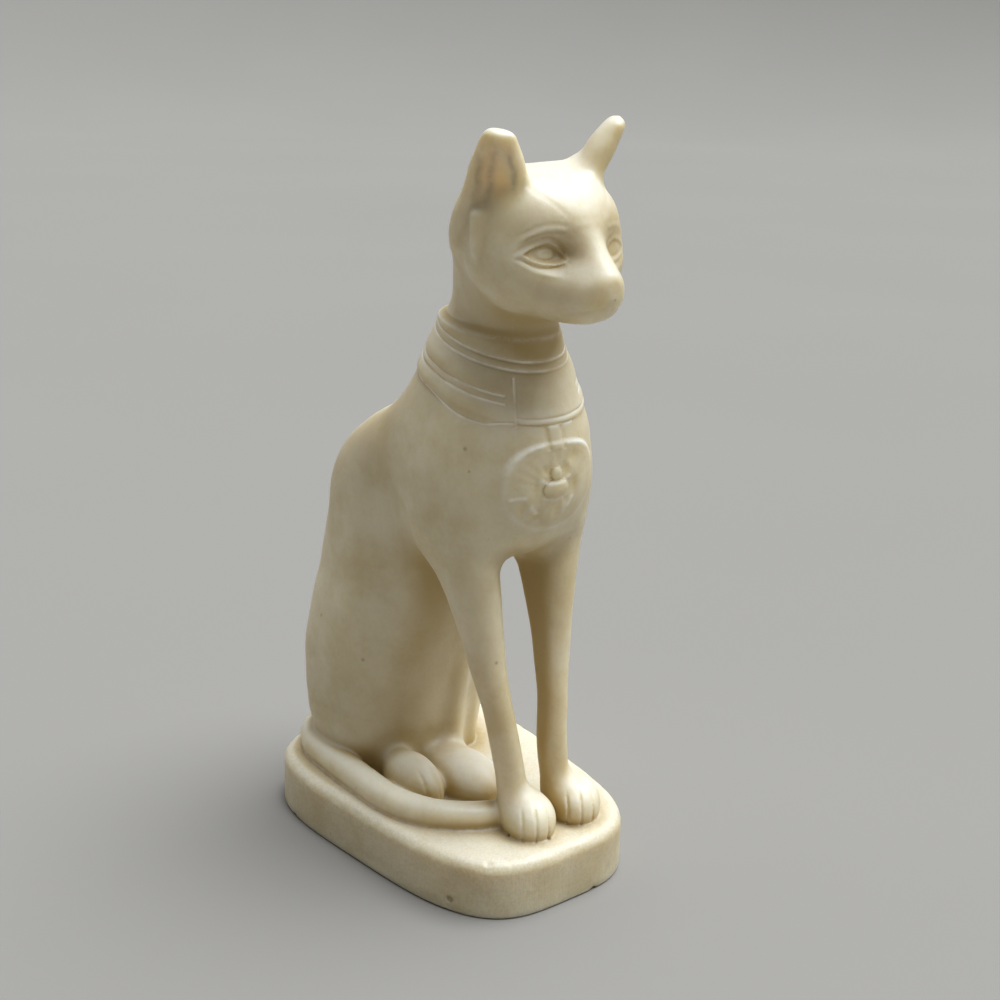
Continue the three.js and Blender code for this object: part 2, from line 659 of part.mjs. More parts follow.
// Takes triangles away where the surface is flattest, and keeps it closed.
function thin({ points, faces }, wanted) {
  const around = points.map(() => new Set());
  const quadrics = points.map(() => new Array(10).fill(0));
  const stamp = new Int32Array(points.length);
  faces.forEach((face, f) => {
    const cross = crossOf(...face.map((p) => points[p]));
    const size = Math.hypot(...cross) || 1e-12;
    const normal = cross.map((v) => v / size);
    const level = -normal.reduce((sum, v, k) => sum + v * points[face[0]][k], 0);
    const quadric = planeQuadric(normal, level, size);
    for (const p of face) {
      around[p].add(f);
      quadric.forEach((v, k) => { quadrics[p][k] += v; });
    }
  });
  const neighbours = (p) => {
    const found = new Set();
    for (const f of around[p]) {
      for (const other of faces[f]) {
        if (other !== p) found.add(other);
      }
    }
    return found;
  };
  const heap = new CheapestFirst();
  const consider = (a, b) => {
    const quadric = quadrics[a].map((v, k) => v + quadrics[b][k]);
    const middle = points[a].map((v, k) => (v + points[b][k]) / 2);
    const place = bestPlace(quadric, middle);
    const length = spread(points[a], points[b]);
    const cost = Math.max(quadricCost(quadric, place), 0) + EDGE_COST * length;
    heap.add({ a, b, cost, place, quadric, stampA: stamp[a], stampB: stamp[b] });
  };
  const turnsOver = (p, gone, place) => {
    for (const f of around[p]) {
      if (faces[f].includes(gone)) continue;
      const old = faces[f].map((n) => points[n]);
      const moved = faces[f].map((n) => (n === p ? place : points[n]));
      const before = crossOf(...old);
      const after = crossOf(...moved);
      const dot = before[0] * after[0] + before[1] * after[1] + before[2] * after[2];
      const area = Math.hypot(...after);
      if (dot < LEAST_AGREEMENT * Math.hypot(...before) * area) return true;
      const longest = Math.max(
        spread(moved[0], moved[1]),
        spread(moved[1], moved[2]),
        spread(moved[2], moved[0]),
      );
      if (area < LEAST_ROUNDNESS * longest * longest) return true;
    }
    return false;
  };
  points.forEach((_, p) => neighbours(p).forEach((other) => {
    if (p < other) consider(p, other);
  }));
  let left = faces.length;
  while (left > wanted && heap.entries.length > 0) {
    const { a, b, place, quadric, stampA, stampB } = heap.take();
    if (stamp[a] !== stampA || stamp[b] !== stampB) continue;
    const beside = neighbours(b);
    const shared = [...neighbours(a)].filter((p) => beside.has(p)).length;
    if (shared !== 2 || turnsOver(a, b, place) || turnsOver(b, a, place)) continue;
    for (const f of [...around[b]]) {
      if (faces[f].includes(a)) {
        faces[f].forEach((p) => around[p].delete(f));
        faces[f] = null;
        left -= 1;
      } else {
        faces[f] = faces[f].map((p) => (p === b ? a : p));
        around[a].add(f);
      }
    }
    around[b].clear();
    stamp[b] = -1;
    stamp[a] += 1;
    points[a] = place;
    quadrics[a] = quadric;
    neighbours(a).forEach((p) => consider(a, p));
  }
  return { points, faces: faces.filter((face) => face) };
}

// The plinth: an oblong with full corners, wider behind, with a rounded top edge.

function plinthOutline() {
  const outline = [];
  for (let n = 0; n < OUTLINE_POINTS; n += 1) {
    const angle = (2 * Math.PI * (n + 0.5)) / OUTLINE_POINTS;
    const bulge = (v) => Math.sign(v) * Math.abs(v) ** (2 / PLINTH_CORNERS);
    const along = bulge(Math.sin(angle));
    const half = (PLINTH_WIDTH / 2) * (1 + PLINTH_TAPER * along);
    outline.push(new THREE.Vector2(half * bulge(Math.cos(angle)), (PLINTH_LENGTH / 2) * along));
  }
  return outline;
}

// One ring of the plinth's side: how far it is drawn in, and its height.
function plinthRings() {
  const rings = [];
  for (let n = 0; n <= ROUND_STEPS; n += 1) {
    const angle = (Math.PI / 2) * (n / ROUND_STEPS);
    const inset = PLINTH_FOOT_ROUND * (1 - Math.sin(angle));
    rings.push([inset, PLINTH_FOOT_ROUND * (1 - Math.cos(angle))]);
  }
  for (let n = 0; n <= ROUND_STEPS; n += 1) {
    const angle = (Math.PI / 2) * (n / ROUND_STEPS);
    const height = PLINTH_HEIGHT - PLINTH_TOP_ROUND * (1 - Math.sin(angle));
    rings.push([PLINTH_TOP_ROUND * (1 - Math.cos(angle)), height]);
  }
  return rings;
}

function plinth() {
  const outline = plinthOutline();
  const outward = outline.map((_, n) => {
    const before = outline[(n + OUTLINE_POINTS - 1) % OUTLINE_POINTS];
    const after = outline[(n + 1) % OUTLINE_POINTS];
    return new THREE.Vector2(after.y - before.y, before.x - after.x).normalize();
  });
  const points = [];
  const faces = [];
  const rings = plinthRings();
  for (const [inset, height] of rings) {
    outline.forEach((p, n) => {
      const spot = p.clone().addScaledVector(outward[n], -inset);
      points.push([spot.x, spot.y, height]);
    });
  }
  for (let ring = 0; ring < rings.length - 1; ring += 1) {
    for (let n = 0; n < OUTLINE_POINTS; n += 1) {
      const a = ring * OUTLINE_POINTS + n;
      const b = ring * OUTLINE_POINTS + ((n + 1) % OUTLINE_POINTS);
      faces.push([a, b, b + OUTLINE_POINTS], [a, b + OUTLINE_POINTS, a + OUTLINE_POINTS]);
    }
  }
  const top = (rings.length - 1) * OUTLINE_POINTS;
  const cap = THREE.ShapeUtils.triangulateShape(points.slice(0, OUTLINE_POINTS).map(
    ([x, y]) => new THREE.Vector2(x, y),
  ), []);
  cap.forEach(([a, b, c]) => faces.push([a, c, b], [top + a, top + b, top + c]));
  return { points, faces };
}

// Joining figure and plinth, and the finished piece.

const wasm = await Module();
wasm.setup();

function solidOf({ points, faces }) {
  const used = new Map();
  const vertices = [];
  const corners = [];
  for (const p of faces.flat()) {
    if (!used.has(p)) {
      used.set(p, used.size);
      vertices.push(...points[p]);
    }
    corners.push(used.get(p));
  }
  return new wasm.Manifold(new wasm.Mesh({
    numProp: 3,
    vertProperties: new Float32Array(vertices),
    triVerts: new Uint32Array(corners),
  }));
}

function geometryOf(solid) {
  const mesh = solid.getMesh();
  const geometry = new THREE.BufferGeometry();
  geometry.setAttribute('position', new THREE.BufferAttribute(mesh.vertProperties, 3));
  geometry.setIndex(new THREE.BufferAttribute(mesh.triVerts, 1));
  geometry.computeVertexNormals();
  return geometry;
}

const PAW_TIP = PAWS.fore - PAWS.long;
const FIGURE_FORWARD = -PLINTH_LENGTH / 2 + TOE_SETBACK - PAW_TIP * UNIT;

// A box around the figure, in hundredths of its height.
const FIGURE_LOW = [-18.5, -34, -2];
const FIGURE_HIGH = [18.5, 29, 103];

function carvedFigure() {
  const low = FIGURE_LOW.map((v) => v * UNIT);
  const high = FIGURE_HIGH.map((v) => v * UNIT);
  const grid = sampleForm(low, high, SCULPT_STEP);
  cutFlatBelow(grid, low, SCULPT_STEP, -SINK);
  partSheets(grid);
  const mesh = thin(skin(grid, low, SCULPT_STEP), SCULPT_TRIANGLES);
  mesh.points = mesh.points.map(([x, y, z]) => [x, y + FIGURE_FORWARD, z + PLINTH_HEIGHT]);
  return mesh;
}

const alabaster = new THREE.MeshStandardMaterial({
  color: '#ddd0b4',
  roughness: 0.45,
  metalness: 0,
});

const carving = solidOf(plinth()).add(solidOf(carvedFigure()));
const cat = new THREE.Mesh(geometryOf(carving), alabaster);
cat.name = 'cat_figure';

const group = new THREE.Group();
group.add(cat);
export default group;
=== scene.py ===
import math

import bpy
import numpy as np
from mathutils import Matrix, Vector


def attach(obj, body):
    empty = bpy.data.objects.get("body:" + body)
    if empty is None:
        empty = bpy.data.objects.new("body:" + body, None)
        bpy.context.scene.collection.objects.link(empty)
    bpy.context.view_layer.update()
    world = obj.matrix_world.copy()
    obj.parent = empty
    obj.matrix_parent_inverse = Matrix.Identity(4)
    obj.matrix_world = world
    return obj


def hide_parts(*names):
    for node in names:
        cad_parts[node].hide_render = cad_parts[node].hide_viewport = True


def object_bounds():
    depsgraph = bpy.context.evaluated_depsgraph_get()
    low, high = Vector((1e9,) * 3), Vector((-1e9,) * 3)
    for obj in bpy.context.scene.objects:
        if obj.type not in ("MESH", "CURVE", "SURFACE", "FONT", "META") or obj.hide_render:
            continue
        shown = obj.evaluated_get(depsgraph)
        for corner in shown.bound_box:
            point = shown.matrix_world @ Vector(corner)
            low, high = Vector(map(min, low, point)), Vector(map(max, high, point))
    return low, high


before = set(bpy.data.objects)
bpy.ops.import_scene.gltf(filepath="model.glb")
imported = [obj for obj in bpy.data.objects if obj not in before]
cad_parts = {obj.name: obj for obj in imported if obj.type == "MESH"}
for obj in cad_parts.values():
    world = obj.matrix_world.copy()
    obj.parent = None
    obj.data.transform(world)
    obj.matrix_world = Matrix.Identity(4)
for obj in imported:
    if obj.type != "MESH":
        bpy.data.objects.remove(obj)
cad_box = [list(corner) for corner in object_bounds()]

# The camera, where the object is seen from: in front, to its right and a little above.
CAMERA_AT = Vector((-0.2332, -0.31045, 0.2224))
CAMERA_YAW = math.radians(-38.5)
CAMERA_PITCH = math.radians(17.71)
CAMERA_ROLL = math.radians(1.5)
LENS = 54.1
SENSOR = 36

# The object's sizes, in millimetres, as in the solid model.
FIGURE_HEIGHT = 184.0
PLINTH_LENGTH = 102.5
PLINTH_WIDTH = 70.0
PLINTH_HEIGHT = 16.0
PLINTH_TAPER = 0.132             # how much wider the back end is than the middle, as a share
PLINTH_CORNERS = 3.6
PLINTH_TOP_ROUND = 3.2
PLINTH_FOOT_ROUND = 0.9
PLINTH_WORN = 0.12               # how far the worn side lies inside the solid model's
PLINTH_DEEP_INSIDE = 25.0        # further in than this, distances from its side aren't told apart
TOE_SETBACK = 5.85
SINK = 1.2
FOOT_SEAM = 0.9                  # softness of the joint between the figure and the plinth
MILLIMETRE = 0.001

# How finely the carving is worked out, in millimetres. Cells are lower where the fine lines are.
CELL = 0.42
LOW_CELL = 0.29
FINE_HEIGHTS = ((112, 126), (167, 181))
BLOCK = 8                        # cells along each side of a block
CLEAR = 1.4                      # a block is left out this many half diagonals off the surface
MOST_TRIANGLES = 190000
CHUNK = 40000                    # how many points are worked out at a time
LEAN_REACH = 0.06                # the step over which the surface's lean is measured
FIRST_SETTLE = 0.4 * CELL        # how far points may be moved onto the surface, before thinning
LAST_SETTLE = 0.3 * CELL         # and after it
FLAT_WITHIN = 0.02               # points this near the underside are put on it

# The figure's proportions are in hundredths of its own height, from the plinth's top up.
UNIT = FIGURE_HEIGHT / 100
PAWS = {"aside": 2.8, "apart": 4.25, "fore": -18.85, "up": 1.7}
PAW_RADII = (3.85, 4.6, 3.8)
FIGURE_FORWARD = -PLINTH_LENGTH / 2 + TOE_SETBACK - (PAWS["fore"] - PAW_RADII[1]) * UNIT


# Small tools for forms that are given by their distance: negative inside, positive outside.

def smooth_step(value, low, high):
    t = np.clip((value - low) / (high - low), 0, 1)
    return t * t * (3 - 2 * t)


def window(value, start, end):
    """Softly up to 1 over the first pair of limits and down to 0 again over the second."""
    return smooth_step(value, *start) * (1 - smooth_step(value, *end))


def blend(a, b, softness):
    """Joins two forms with a soft valley between them."""
    h = np.maximum(softness - np.abs(a - b), 0) / softness
    return np.minimum(a, b) - h * h * softness * 0.25


def meet(a, b, softness):
    """Keeps what is in both forms, with a soft edge."""
    return -blend(-a, -b, softness)


def line(away, half_width):
    """1 on a line and 0 well clear of it, from the distance to the line."""
    return np.exp(-(away / half_width) ** 2)


def lines_at(across, places, half_width):
    """1 on each of some parallel lines."""
    lines = 0
    for place in places:
        lines = np.maximum(lines, line(across - place, half_width))
    return lines


def off_stroke(u, v, start, end):
    """How far a place in a plane lies from a straight stroke, along each of the plane's axes."""
    du, dv = end[0] - start[0], end[1] - start[1]
    t = np.clip(((u - start[0]) * du + (v - start[1]) * dv) / (du * du + dv * dv), 0, 1)
    return u - start[0] - t * du, v - start[1] - t * dv


def curve_through(stations, heights):
    """A smooth curve through given values, which never swings past them."""
    t = np.array(stations, float)
    v = np.array(heights, float)
    rise = np.diff(v) / np.diff(t)
    slope = np.zeros(len(v))
    slope[0], slope[-1] = rise[0], rise[-1]
    before, after = rise[:-1], rise[1:]
    same_way = before * after > 0
    total = np.where(same_way, before + after, 1)
    slope[1:-1] = np.where(same_way, 2 * before * after / total, 0)

    def at(p):
        p = np.clip(p, t[0], t[-1])
        i = np.clip(np.searchsorted(t, p, side="right") - 1, 0, len(t) - 2)
        span = t[i + 1] - t[i]
        s = (p - t[i]) / span
        r = 1 - s
        start = v[i] * (1 + 2 * s) * r * r + slope[i] * span * s * r * r
        end = v[i + 1] * s * s * (3 - 2 * s) - slope[i + 1] * span * s * s * r
        return start + end
    return at


def curves_of(rows):
    """One curve for each column after the first, through the rows."""
    table = np.array(rows, float)
    return [curve_through(table[:, 0], table[:, n]) for n in range(1, table.shape[1])]


def ellipsoid(x, y, z, middle, radii, lean=0.0):
    c, s = math.cos(lean), math.sin(lean)
    u = x - middle[0]
    dy = y - middle[1]
    dz = z - middle[2]
    v = c * dy + s * dz
    w = -s * dy + c * dz
    rx, ry, rz = radii
    k0 = np.sqrt((u / rx) ** 2 + (v / ry) ** 2 + (w / rz) ** 2)
    k1 = np.sqrt((u / rx ** 2) ** 2 + (v / ry ** 2) ** 2 + (w / rz ** 2) ** 2)
    return k0 * (k0 - 1) / np.maximum(k1, 1e-9)


def rod(x, y, z, a, b):
    """A rod between two points, thicker or thinner towards its end."""
    dx, dy, dz = b[0] - a[0], b[1] - a[1], b[2] - a[2]
    along = (x - a[0]) * dx + (y - a[1]) * dy + (z - a[2]) * dz
    t = np.clip(along / (dx * dx + dy * dy + dz * dz), 0, 1)
    away = np.sqrt((x - a[0] - t * dx) ** 2 + (y - a[1] - t * dy) ** 2 + (z - a[2] - t * dz) ** 2)
    return away - (a[3] + (b[3] - a[3]) * t)


def column(rows, corners, fuller=0.0):
    """A column whose level sections are rounded oblongs, from rows of height, back, front
    and half width. The back of each section may be fuller."""
    back_of, front_of, half_of = curves_of(rows)

    def form(x, y, z):
        back, front = back_of(z), front_of(z)
        middle = (back + front) / 2
        deep = (back - front) / 2
        wide = half_of(z) * (1 + fuller * np.clip((y - middle) / deep, -1.2, 1.2))
        u = np.abs(x) / wide
        v = np.abs(y - middle) / deep
        u_less = u ** (corners - 1)
        v_less = v ** (corners - 1)
        k = (u_less * u + v_less * v) ** (1 / corners)
        tilt = np.sqrt((u_less / wide) ** 2 + (v_less / deep) ** 2)
        steep = tilt / np.maximum(k, 1e-3) ** (corners - 1)
        return 0.93 * np.maximum((k - 1) / np.maximum(steep, 1 / 30), -np.minimum(wide, deep))
    return form


def limb(rows, soft_end):
    """A limb whose sections are ovals, from rows of place along it, side, front-back,
    half width and half depth."""
    side_of, fore_of, wide_of, deep_of = curves_of(rows)
    start, end = rows[0][0], rows[-1][0]

    def form(x, y, z):
        rx, ry = wide_of(z), deep_of(z)
        u = (x - side_of(z)) / rx
        v = (y - fore_of(z)) / ry
        k = np.sqrt(u * u + v * v)
        steep = np.maximum(np.sqrt((u / rx) ** 2 + (v / ry) ** 2), 1e-4)
        round_form = np.where(k < 0.2, -np.minimum(rx, ry), k * (k - 1) / steep)
        return meet(round_form * 0.93, np.maximum(z - end, start - z), soft_end)
    return form


WAVES = 9                        # how many waves make up an uneven surface


def swells(size, seed):
    """Soft unevenness of a hand-worked surface, about as wide as the given size."""
    chance = np.random.default_rng(seed)
    ways = chance.normal(size=(WAVES, 3))
    ways /= np.linalg.norm(ways, axis=1)[:, None]
    ways *= (2 * math.pi / (size * chance.uniform(0.75, 1.6, WAVES)))[:, None]
    starts = chance.uniform(0, 2 * math.pi, WAVES)

    def at(x, y, z):
        total = 0
        for way, first in zip(ways, starts):
            total = total + np.sin(way[0] * x + way[1] * y + way[2] * z + first)
        return total / math.sqrt(WAVES)
    return at


# The body, in hundredths of the figure's height.

HAUNCHES = column([
    (-4, 22.8, 4.6, 11.8),
    (2, 24.3, 4.6, 12.9),
    (9, 25.9, 4.3, 14.2),
    (17, 26.3, 3.5, 14.5),
    (25, 26.0, 2.0, 13.6),
    (33, 25.2, -0.2, 12.1),
    (42, 24.2, -4.0, 11.4),
    (52, 23.3, -7.2, 11.5),
    (64, 22.0, -9.0, 11.4),
], 2.5, 0.08)
HAUNCHES_ASIDE = -1.2

NECK_AND_CHEST = column([
    (36, 4.0, -11.5, 11.0),
    (41, 5.0, -15.8, 12.2),
    (46, 6.2, -19.0, 12.8),
    (52, 6.8, -20.5, 13.0),
    (58, 6.4, -20.2, 12.4),
    (63, 5.2, -18.5, 11.1),
    (68, 3.7, -16.6, 9.3),
    (72, 1.5, -15.4, 7.4),
    (76, -0.4, -14.9, 6.6),
    (80, -1.0, -15.0, 6.9),
    (85, -1.8, -15.2, 7.7),
    (90, -3.0, -15.2, 8.2),
], 2.15)

FORELEG = limb([
    (-3, 4.2, -16.4, 2.6, 2.9),
    (3, 4.15, -16.3, 2.4, 2.6),
    (8, 4.05, -15.9, 2.15, 2.3),
    (17.5, 4.95, -15.2, 2.15, 2.35),
    (26, 6, -13.5, 2.6, 3.1),
    (34, 6.7, -11.5, 3.4, 4.5),
    (42, 7.6, -9.2, 4.4, 6.4),
    (50, 7.9, -7.2, 4.6, 7.6),
    (60, 7.4, -6, 4, 7),
], 7)
ANKLES_ASIDE = 2.4
BEND_HEIGHT = 26
BACK_SLOPE = np.array([0.47, 0.88]) / math.hypot(0.47, 0.88)
BACK_AT = (15, 55.8)
BACK_ROUND = 9
CHEST_FOOT, CHEST_FOOT_ROUND = 39, 7
NECK_TOP, NECK_TOP_ROUND = 86, 3
TRUNK_SEAM = 3.5
FLANK_HOLLOW = ((15.2, 1.5, 33), (2.8, 6.5, 15), -0.14)
FLANK_ROUND = 4


def forelegs(x, y, z):
    """Both forelegs, which lean to the cat's left below the bend."""
    below = np.clip(1 - z / BEND_HEIGHT, 0, 1)
    return FORELEG(np.abs(x - ANKLES_ASIDE * below * below), y, z)


def trunk(x, y, z):
    """Haunches, chest and neck, with the flanks hollowed."""
    slope = (y - BACK_AT[0]) * BACK_SLOPE[0] + (z - BACK_AT[1]) * BACK_SLOPE[1]
    rear = meet(HAUNCHES(x - HAUNCHES_ASIDE, y, z), slope, BACK_ROUND)
    front = meet(NECK_AND_CHEST(x, y, z), CHEST_FOOT - z, CHEST_FOOT_ROUND)
    front = meet(front, z - NECK_TOP, NECK_TOP_ROUND)
    flank = ellipsoid(np.abs(x), y, z, *FLANK_HOLLOW)
    return meet(blend(rear, front, TRUNK_SEAM), -flank, FLANK_ROUND)


# Between the haunches in front: a shin ridge, and beside it a deep fold.
SHIN = ((3.4, 4.6, 17, 0.9), (1.6, 4.7, 3.5, 1.1))
SHIN_SEAM = 2.2
FOLD = ((6.7, 3.6, 2.5), (2.1, 3.4, 8.5))
FOLD_ROUND = 1.6


def belly_fold(x, y, z, form):
    """The form with the shin ridge added and the fold beside it cut."""
    form = blend(form, rod(x, y, z, *SHIN), SHIN_SEAM)
    return meet(form, -ellipsoid(x, y, z, *FOLD), FOLD_ROUND)


# Forepaws, turned a little to the cat's right, with grooves between three toes.
PAW_TURN = math.radians(28)
TOE_PLACES = [share * PAW_RADII[0] for share in (-0.46, 0.04, 0.52)]
TOE_GROOVE_WIDTH = 0.19
TOE_GROOVE_DEPTH = 0.28
TOES_FROM = (1.9, 3.5)           # how far before the paw's middle the grooves begin


def toe_lines(across, back):
    return lines_at(across, TOE_PLACES, TOE_GROOVE_WIDTH) * smooth_step(-back, *TOES_FROM)


def paw_place(x, y):
    """Across and back from the middle of the nearer forepaw."""
    side = np.abs(x - PAWS["aside"]) - PAWS["apart"]
    dx = np.where(x < PAWS["aside"], -side, side)
    dy = y - PAWS["fore"]
    across = math.cos(PAW_TURN) * dx - math.sin(PAW_TURN) * dy
    back = math.sin(PAW_TURN) * dx + math.cos(PAW_TURN) * dy
    return across, back


def paws(x, y, z):
    """Both forepaws, with grooves between the toes."""
    across, back = paw_place(x, y)
    form = ellipsoid(across, back, z, (0, 0, PAWS["up"]), PAW_RADII)
    return form + toe_lines(across, back) * TOE_GROOVE_DEPTH


RIGHT_HIND_PAW = ((-9.1, -0.3, 1.4), (3.6, 6.2, 4.9))
LEFT_HIND_PAW = ((-0.8, -1.6, 0.8), (5.2, 8, 3.9))
HIND_PAWS_SEAM = 1.2
HIND_TOES = (-10.4, -8.4)
HIND_TOE_WIDTH = 0.28
HIND_TOE_DEPTH = 0.14
HIND_TOES_FROM = (2.4, 4.4)


def hind_feet(x, y, z):
    """Both hind paws, as they show below the belly."""
    toes = lines_at(x, HIND_TOES, HIND_TOE_WIDTH) * smooth_step(-y, *HIND_TOES_FROM)
    right = ellipsoid(x, y, z, *RIGHT_HIND_PAW) + HIND_TOE_DEPTH * toes
    return blend(right, ellipsoid(x, y, z, *LEFT_HIND_PAW), HIND_PAWS_SEAM)


# The tail leaves the rump behind, lies along the cat's right side and ends at the forepaw.
TAIL_ROUTE = np.array([
    (-1, 22, 2.2), (-6, 24.6, 2), (-11, 24, 1.8), (-14, 19.5, 1.7), (-14.7, 12, 1.6),
    (-14.8, 4, 1.6), (-14.5, -3, 1.6), (-12.2, -9, 1.5), (-7.8, -13, 1.4), (-3, -15, 1.2),
], float)
TAIL_PIECES = 26
TAIL_ROOT_RADIUS = 2.45
TAIL_TIP_RADIUS = 2.1
TAIL_REACH = 9                   # nothing of the tail stands higher than this
TAIL_FINENESS = 24


def smooth_route(points):
    """A smooth line through the points, in many short steps."""
    ends = [2 * points[0] - points[1], 2 * points[-1] - points[-2]]
    p = np.vstack([ends[0], points, ends[1]])
    gaps = np.sqrt(np.linalg.norm(np.diff(p, axis=0), axis=1))
    t = np.linspace(0, 1, TAIL_FINENESS, endpoint=False)[:, None]
    route = []
    for n in range(1, len(p) - 2):
        a, b, c = gaps[n - 1], gaps[n], gaps[n + 1]
        leave = (p[n] - p[n - 1]) / a - (p[n + 1] - p[n - 1]) / (a + b) + (p[n + 1] - p[n]) / b
        enter = (p[n + 1] - p[n]) / b - (p[n + 2] - p[n]) / (b + c) + (p[n + 2] - p[n + 1]) / c
        leave, enter = leave * b, enter * b
        square = -3 * p[n] + 3 * p[n + 1] - 2 * leave - enter
        cube = 2 * p[n] - 2 * p[n + 1] + leave + enter
        route.append(p[n] + t * leave + t * t * square + t ** 3 * cube)
    return np.vstack(route + [points[-1:]])


def tail_joints():
    route = smooth_route(TAIL_ROUTE)
    gone = np.concatenate([[0], np.cumsum(np.linalg.norm(np.diff(route, axis=0), axis=1))])
    share = np.linspace(0, 1, TAIL_PIECES + 1)
    places = [np.interp(share * gone[-1], gone, route[:, k]) for k in range(3)]
    radius = TAIL_ROOT_RADIUS + (TAIL_TIP_RADIUS - TAIL_ROOT_RADIUS) * share
    return np.stack(places + [radius], 1)


TAIL = tail_joints()


def tail(x, y, z):
    nearest = np.full(x.shape, 1e3)
    for a, b in zip(TAIL[:-1], TAIL[1:]):
        nearest = np.minimum(nearest, rod(x, y, z, a, b))
    return np.where(z > TAIL_REACH, z - TAIL_REACH / 2, nearest)


# The head.

EAR_AT = np.array([7.9, -14.6, 90.5])
EAR_ALONG = np.array([0.16, -0.31, 0.94])
EAR_ALONG /= np.linalg.norm(EAR_ALONG)
EAR_ACROSS = np.array([-0.54, -0.84, 0])
EAR_ACROSS -= EAR_ALONG * (EAR_ACROSS @ EAR_ALONG)
EAR_ACROSS /= np.linalg.norm(EAR_ACROSS)
EAR_THROUGH = np.cross(EAR_ALONG, EAR_ACROSS)
EAR_THROUGH *= np.sign(EAR_THROUGH[0])
EAR_SHELL = limb([
    (-8.5, -3.4, -0.3, 1.2, 1.1),
    (-6, -3.1, 0, 1.9, 1.6),
    (-3, -2, -0.2, 2.8, 1.8),
    (0, 0.2, -0.3, 4.2, 2.1),
    (3, 0.6, -0.1, 4.0, 2.1),
    (5.5, 0.6, 0, 3.4, 2.0),
    (8, 0.5, 0.2, 2.5, 1.6),
    (9.6, 0.6, 0.5, 1.75, 1.1),
], 0.9)
LEFT_EAR_LONGER = 1.14
LEFT_EAR_FOOT = ((2.5, -14.0, 91.6, 2.5), (6.6, -14.2, 93.2, 1.9))
LEFT_EAR_OUT = 0.22              # how far it leans out, for each unit of height
LEFT_EAR_IN = 1.3                # how much nearer the middle its root stands
EAR_ROOT = 1.8                   # softness of the joint between an ear and the head
EAR_HOLLOW = ((0.4, 2.9, 2.3), (3.1, 2.4, 5.8))
EAR_HOLLOW_ROUND = 0.7
EAR_CHANNEL = ((-1.0, 2.6, -1.0, 1.3), (-3.0, 2.4, -6.2, 0.9))
EAR_CHANNEL_ROUND = 0.6
# A small ridge that runs down from the ear's outer foot.
EAR_RIDGE = ((10.0, -14.7, 88.4, 0.85), (10.4, -15.3, 84.4, 0.25))
EAR_RIDGE_SEAM = 0.5
EARS_FROM = 84                   # the ears' own marks lie higher than this


def ear_place(x, y, z):
    """Place in the nearer ear: across it, through it and along it."""
    dx = np.abs(x) - EAR_AT[0]
    dy = y - EAR_AT[1]
    dz = z - EAR_AT[2]
    above = np.where(x > 0, np.maximum(dz, 0), 0)
    dx = dx - LEFT_EAR_OUT * above + np.where(x > 0, LEFT_EAR_IN, 0)
    dz = dz - above * (1 - 1 / LEFT_EAR_LONGER)
    return [dx * way[0] + dy * way[1] + dz * way[2] for way in (EAR_ACROSS, EAR_THROUGH, EAR_ALONG)]


def ears(x, y, z):
    """Both ears, hollowed, each with the ridge at its foot."""
    across, through, along = ear_place(x, y, z)
    hollow = ellipsoid(across, through, along, *EAR_HOLLOW)
    form = meet(EAR_SHELL(across, through, along), -hollow, EAR_HOLLOW_ROUND)
    form = meet(form, -rod(across, through, along, *EAR_CHANNEL), EAR_CHANNEL_ROUND)
    return blend(form, rod(np.abs(x), y, z, *EAR_RIDGE), EAR_RIDGE_SEAM)


# The eyes' and brows' lines, from the bridge outwards: distance from the middle, height.
UPPER_LID = curve_through(
    (2.9, 3.5, 4.3, 5.3, 6.4, 7.5, 8.5, 9.4),
    (83.9, 84.8, 85.4, 85.8, 85.6, 85.1, 84.4, 83.6),
)
LOWER_LID = curve_through((2.9, 3.4, 4.5, 6.0, 7.2, 8.3), (83.9, 83.4, 83.1, 83.2, 83.55, 84.1))
UNDER_EYE = curve_through(
    (3.2, 3.9, 5.1, 6.2, 7.1, 7.9, 8.5, 9.4),
    (83.5, 82.95, 82.6, 82.65, 82.95, 83.4, 83.75, 83.75),
)
CHEEK_LINE = curve_through((3.8, 4.9, 6.9, 7.9, 8.7, 9.4), (81.9, 81.8, 82.1, 82.55, 83.1, 83.5))
BROW = curve_through(
    (0, 1.4, 2.6, 3.5, 4.7, 5.8, 6.6, 7.5, 8.3, 9.2),
    (88.2, 88.1, 87.7, 87.4, 87.55, 87.45, 87.2, 86.75, 86.2, 85.6),
)
# Lines along these curves: the curve, where they fade in and out again on their way outwards,
# and for each line how far above the curve it lies, half its width and how far it stands out.
# Below 0 it is cut in. The last one is the faint line over the bridge.
EYE_LINES = (
    (UPPER_LID, (2.7, 3.4), (8.0, 9.8), ((0, 0.3, 0.1), (0.58, 0.27, -0.1))),
    (LOWER_LID, (2.7, 3.4), (7.6, 8.8), ((0, 0.22, 0.15),)),
    (UNDER_EYE, (2.7, 3.4), (8.0, 9.8), ((0, 0.22, -0.13),)),
    (CHEEK_LINE, (3.8, 6.0), (8.0, 9.8), ((0, 0.36, 0.12),)),
    (BROW, (3.0, 3.8), (7.2, 9.4), ((0, 0.34, 0.12), (0.6, 0.24, -0.07), (-0.62, 0.28, -0.06))),
    (BROW, (-1.0, 0.0), (2.2, 3.0), ((0, 0.34, 0.036),)),
)
# Middle's distance from the face's middle and height, half width, half height.
EYEBALL = (5.45, 84.42, 1.35, 0.8)
EYEBALL_PROUD = 0.2
EYE_OPENING = ((2.7, 3.4), (7.6, 8.8))
EYE_OPENING_DEPTH = 0.15
SOCKET = (4.7, 84.6, 3.2, 2.3)
SOCKET_DEPTH = 1.1
INNER_CORNER = (2.95, 84.5)
INNER_CORNER_WIDTH = 0.9
INNER_CORNER_DEPTH = 0.3
FACE_FROM = (15, 18.5)           # how far forward the face's carving begins
LEFT_EYE_SHARE = 0.4             # the cat's left eye is cut less deep


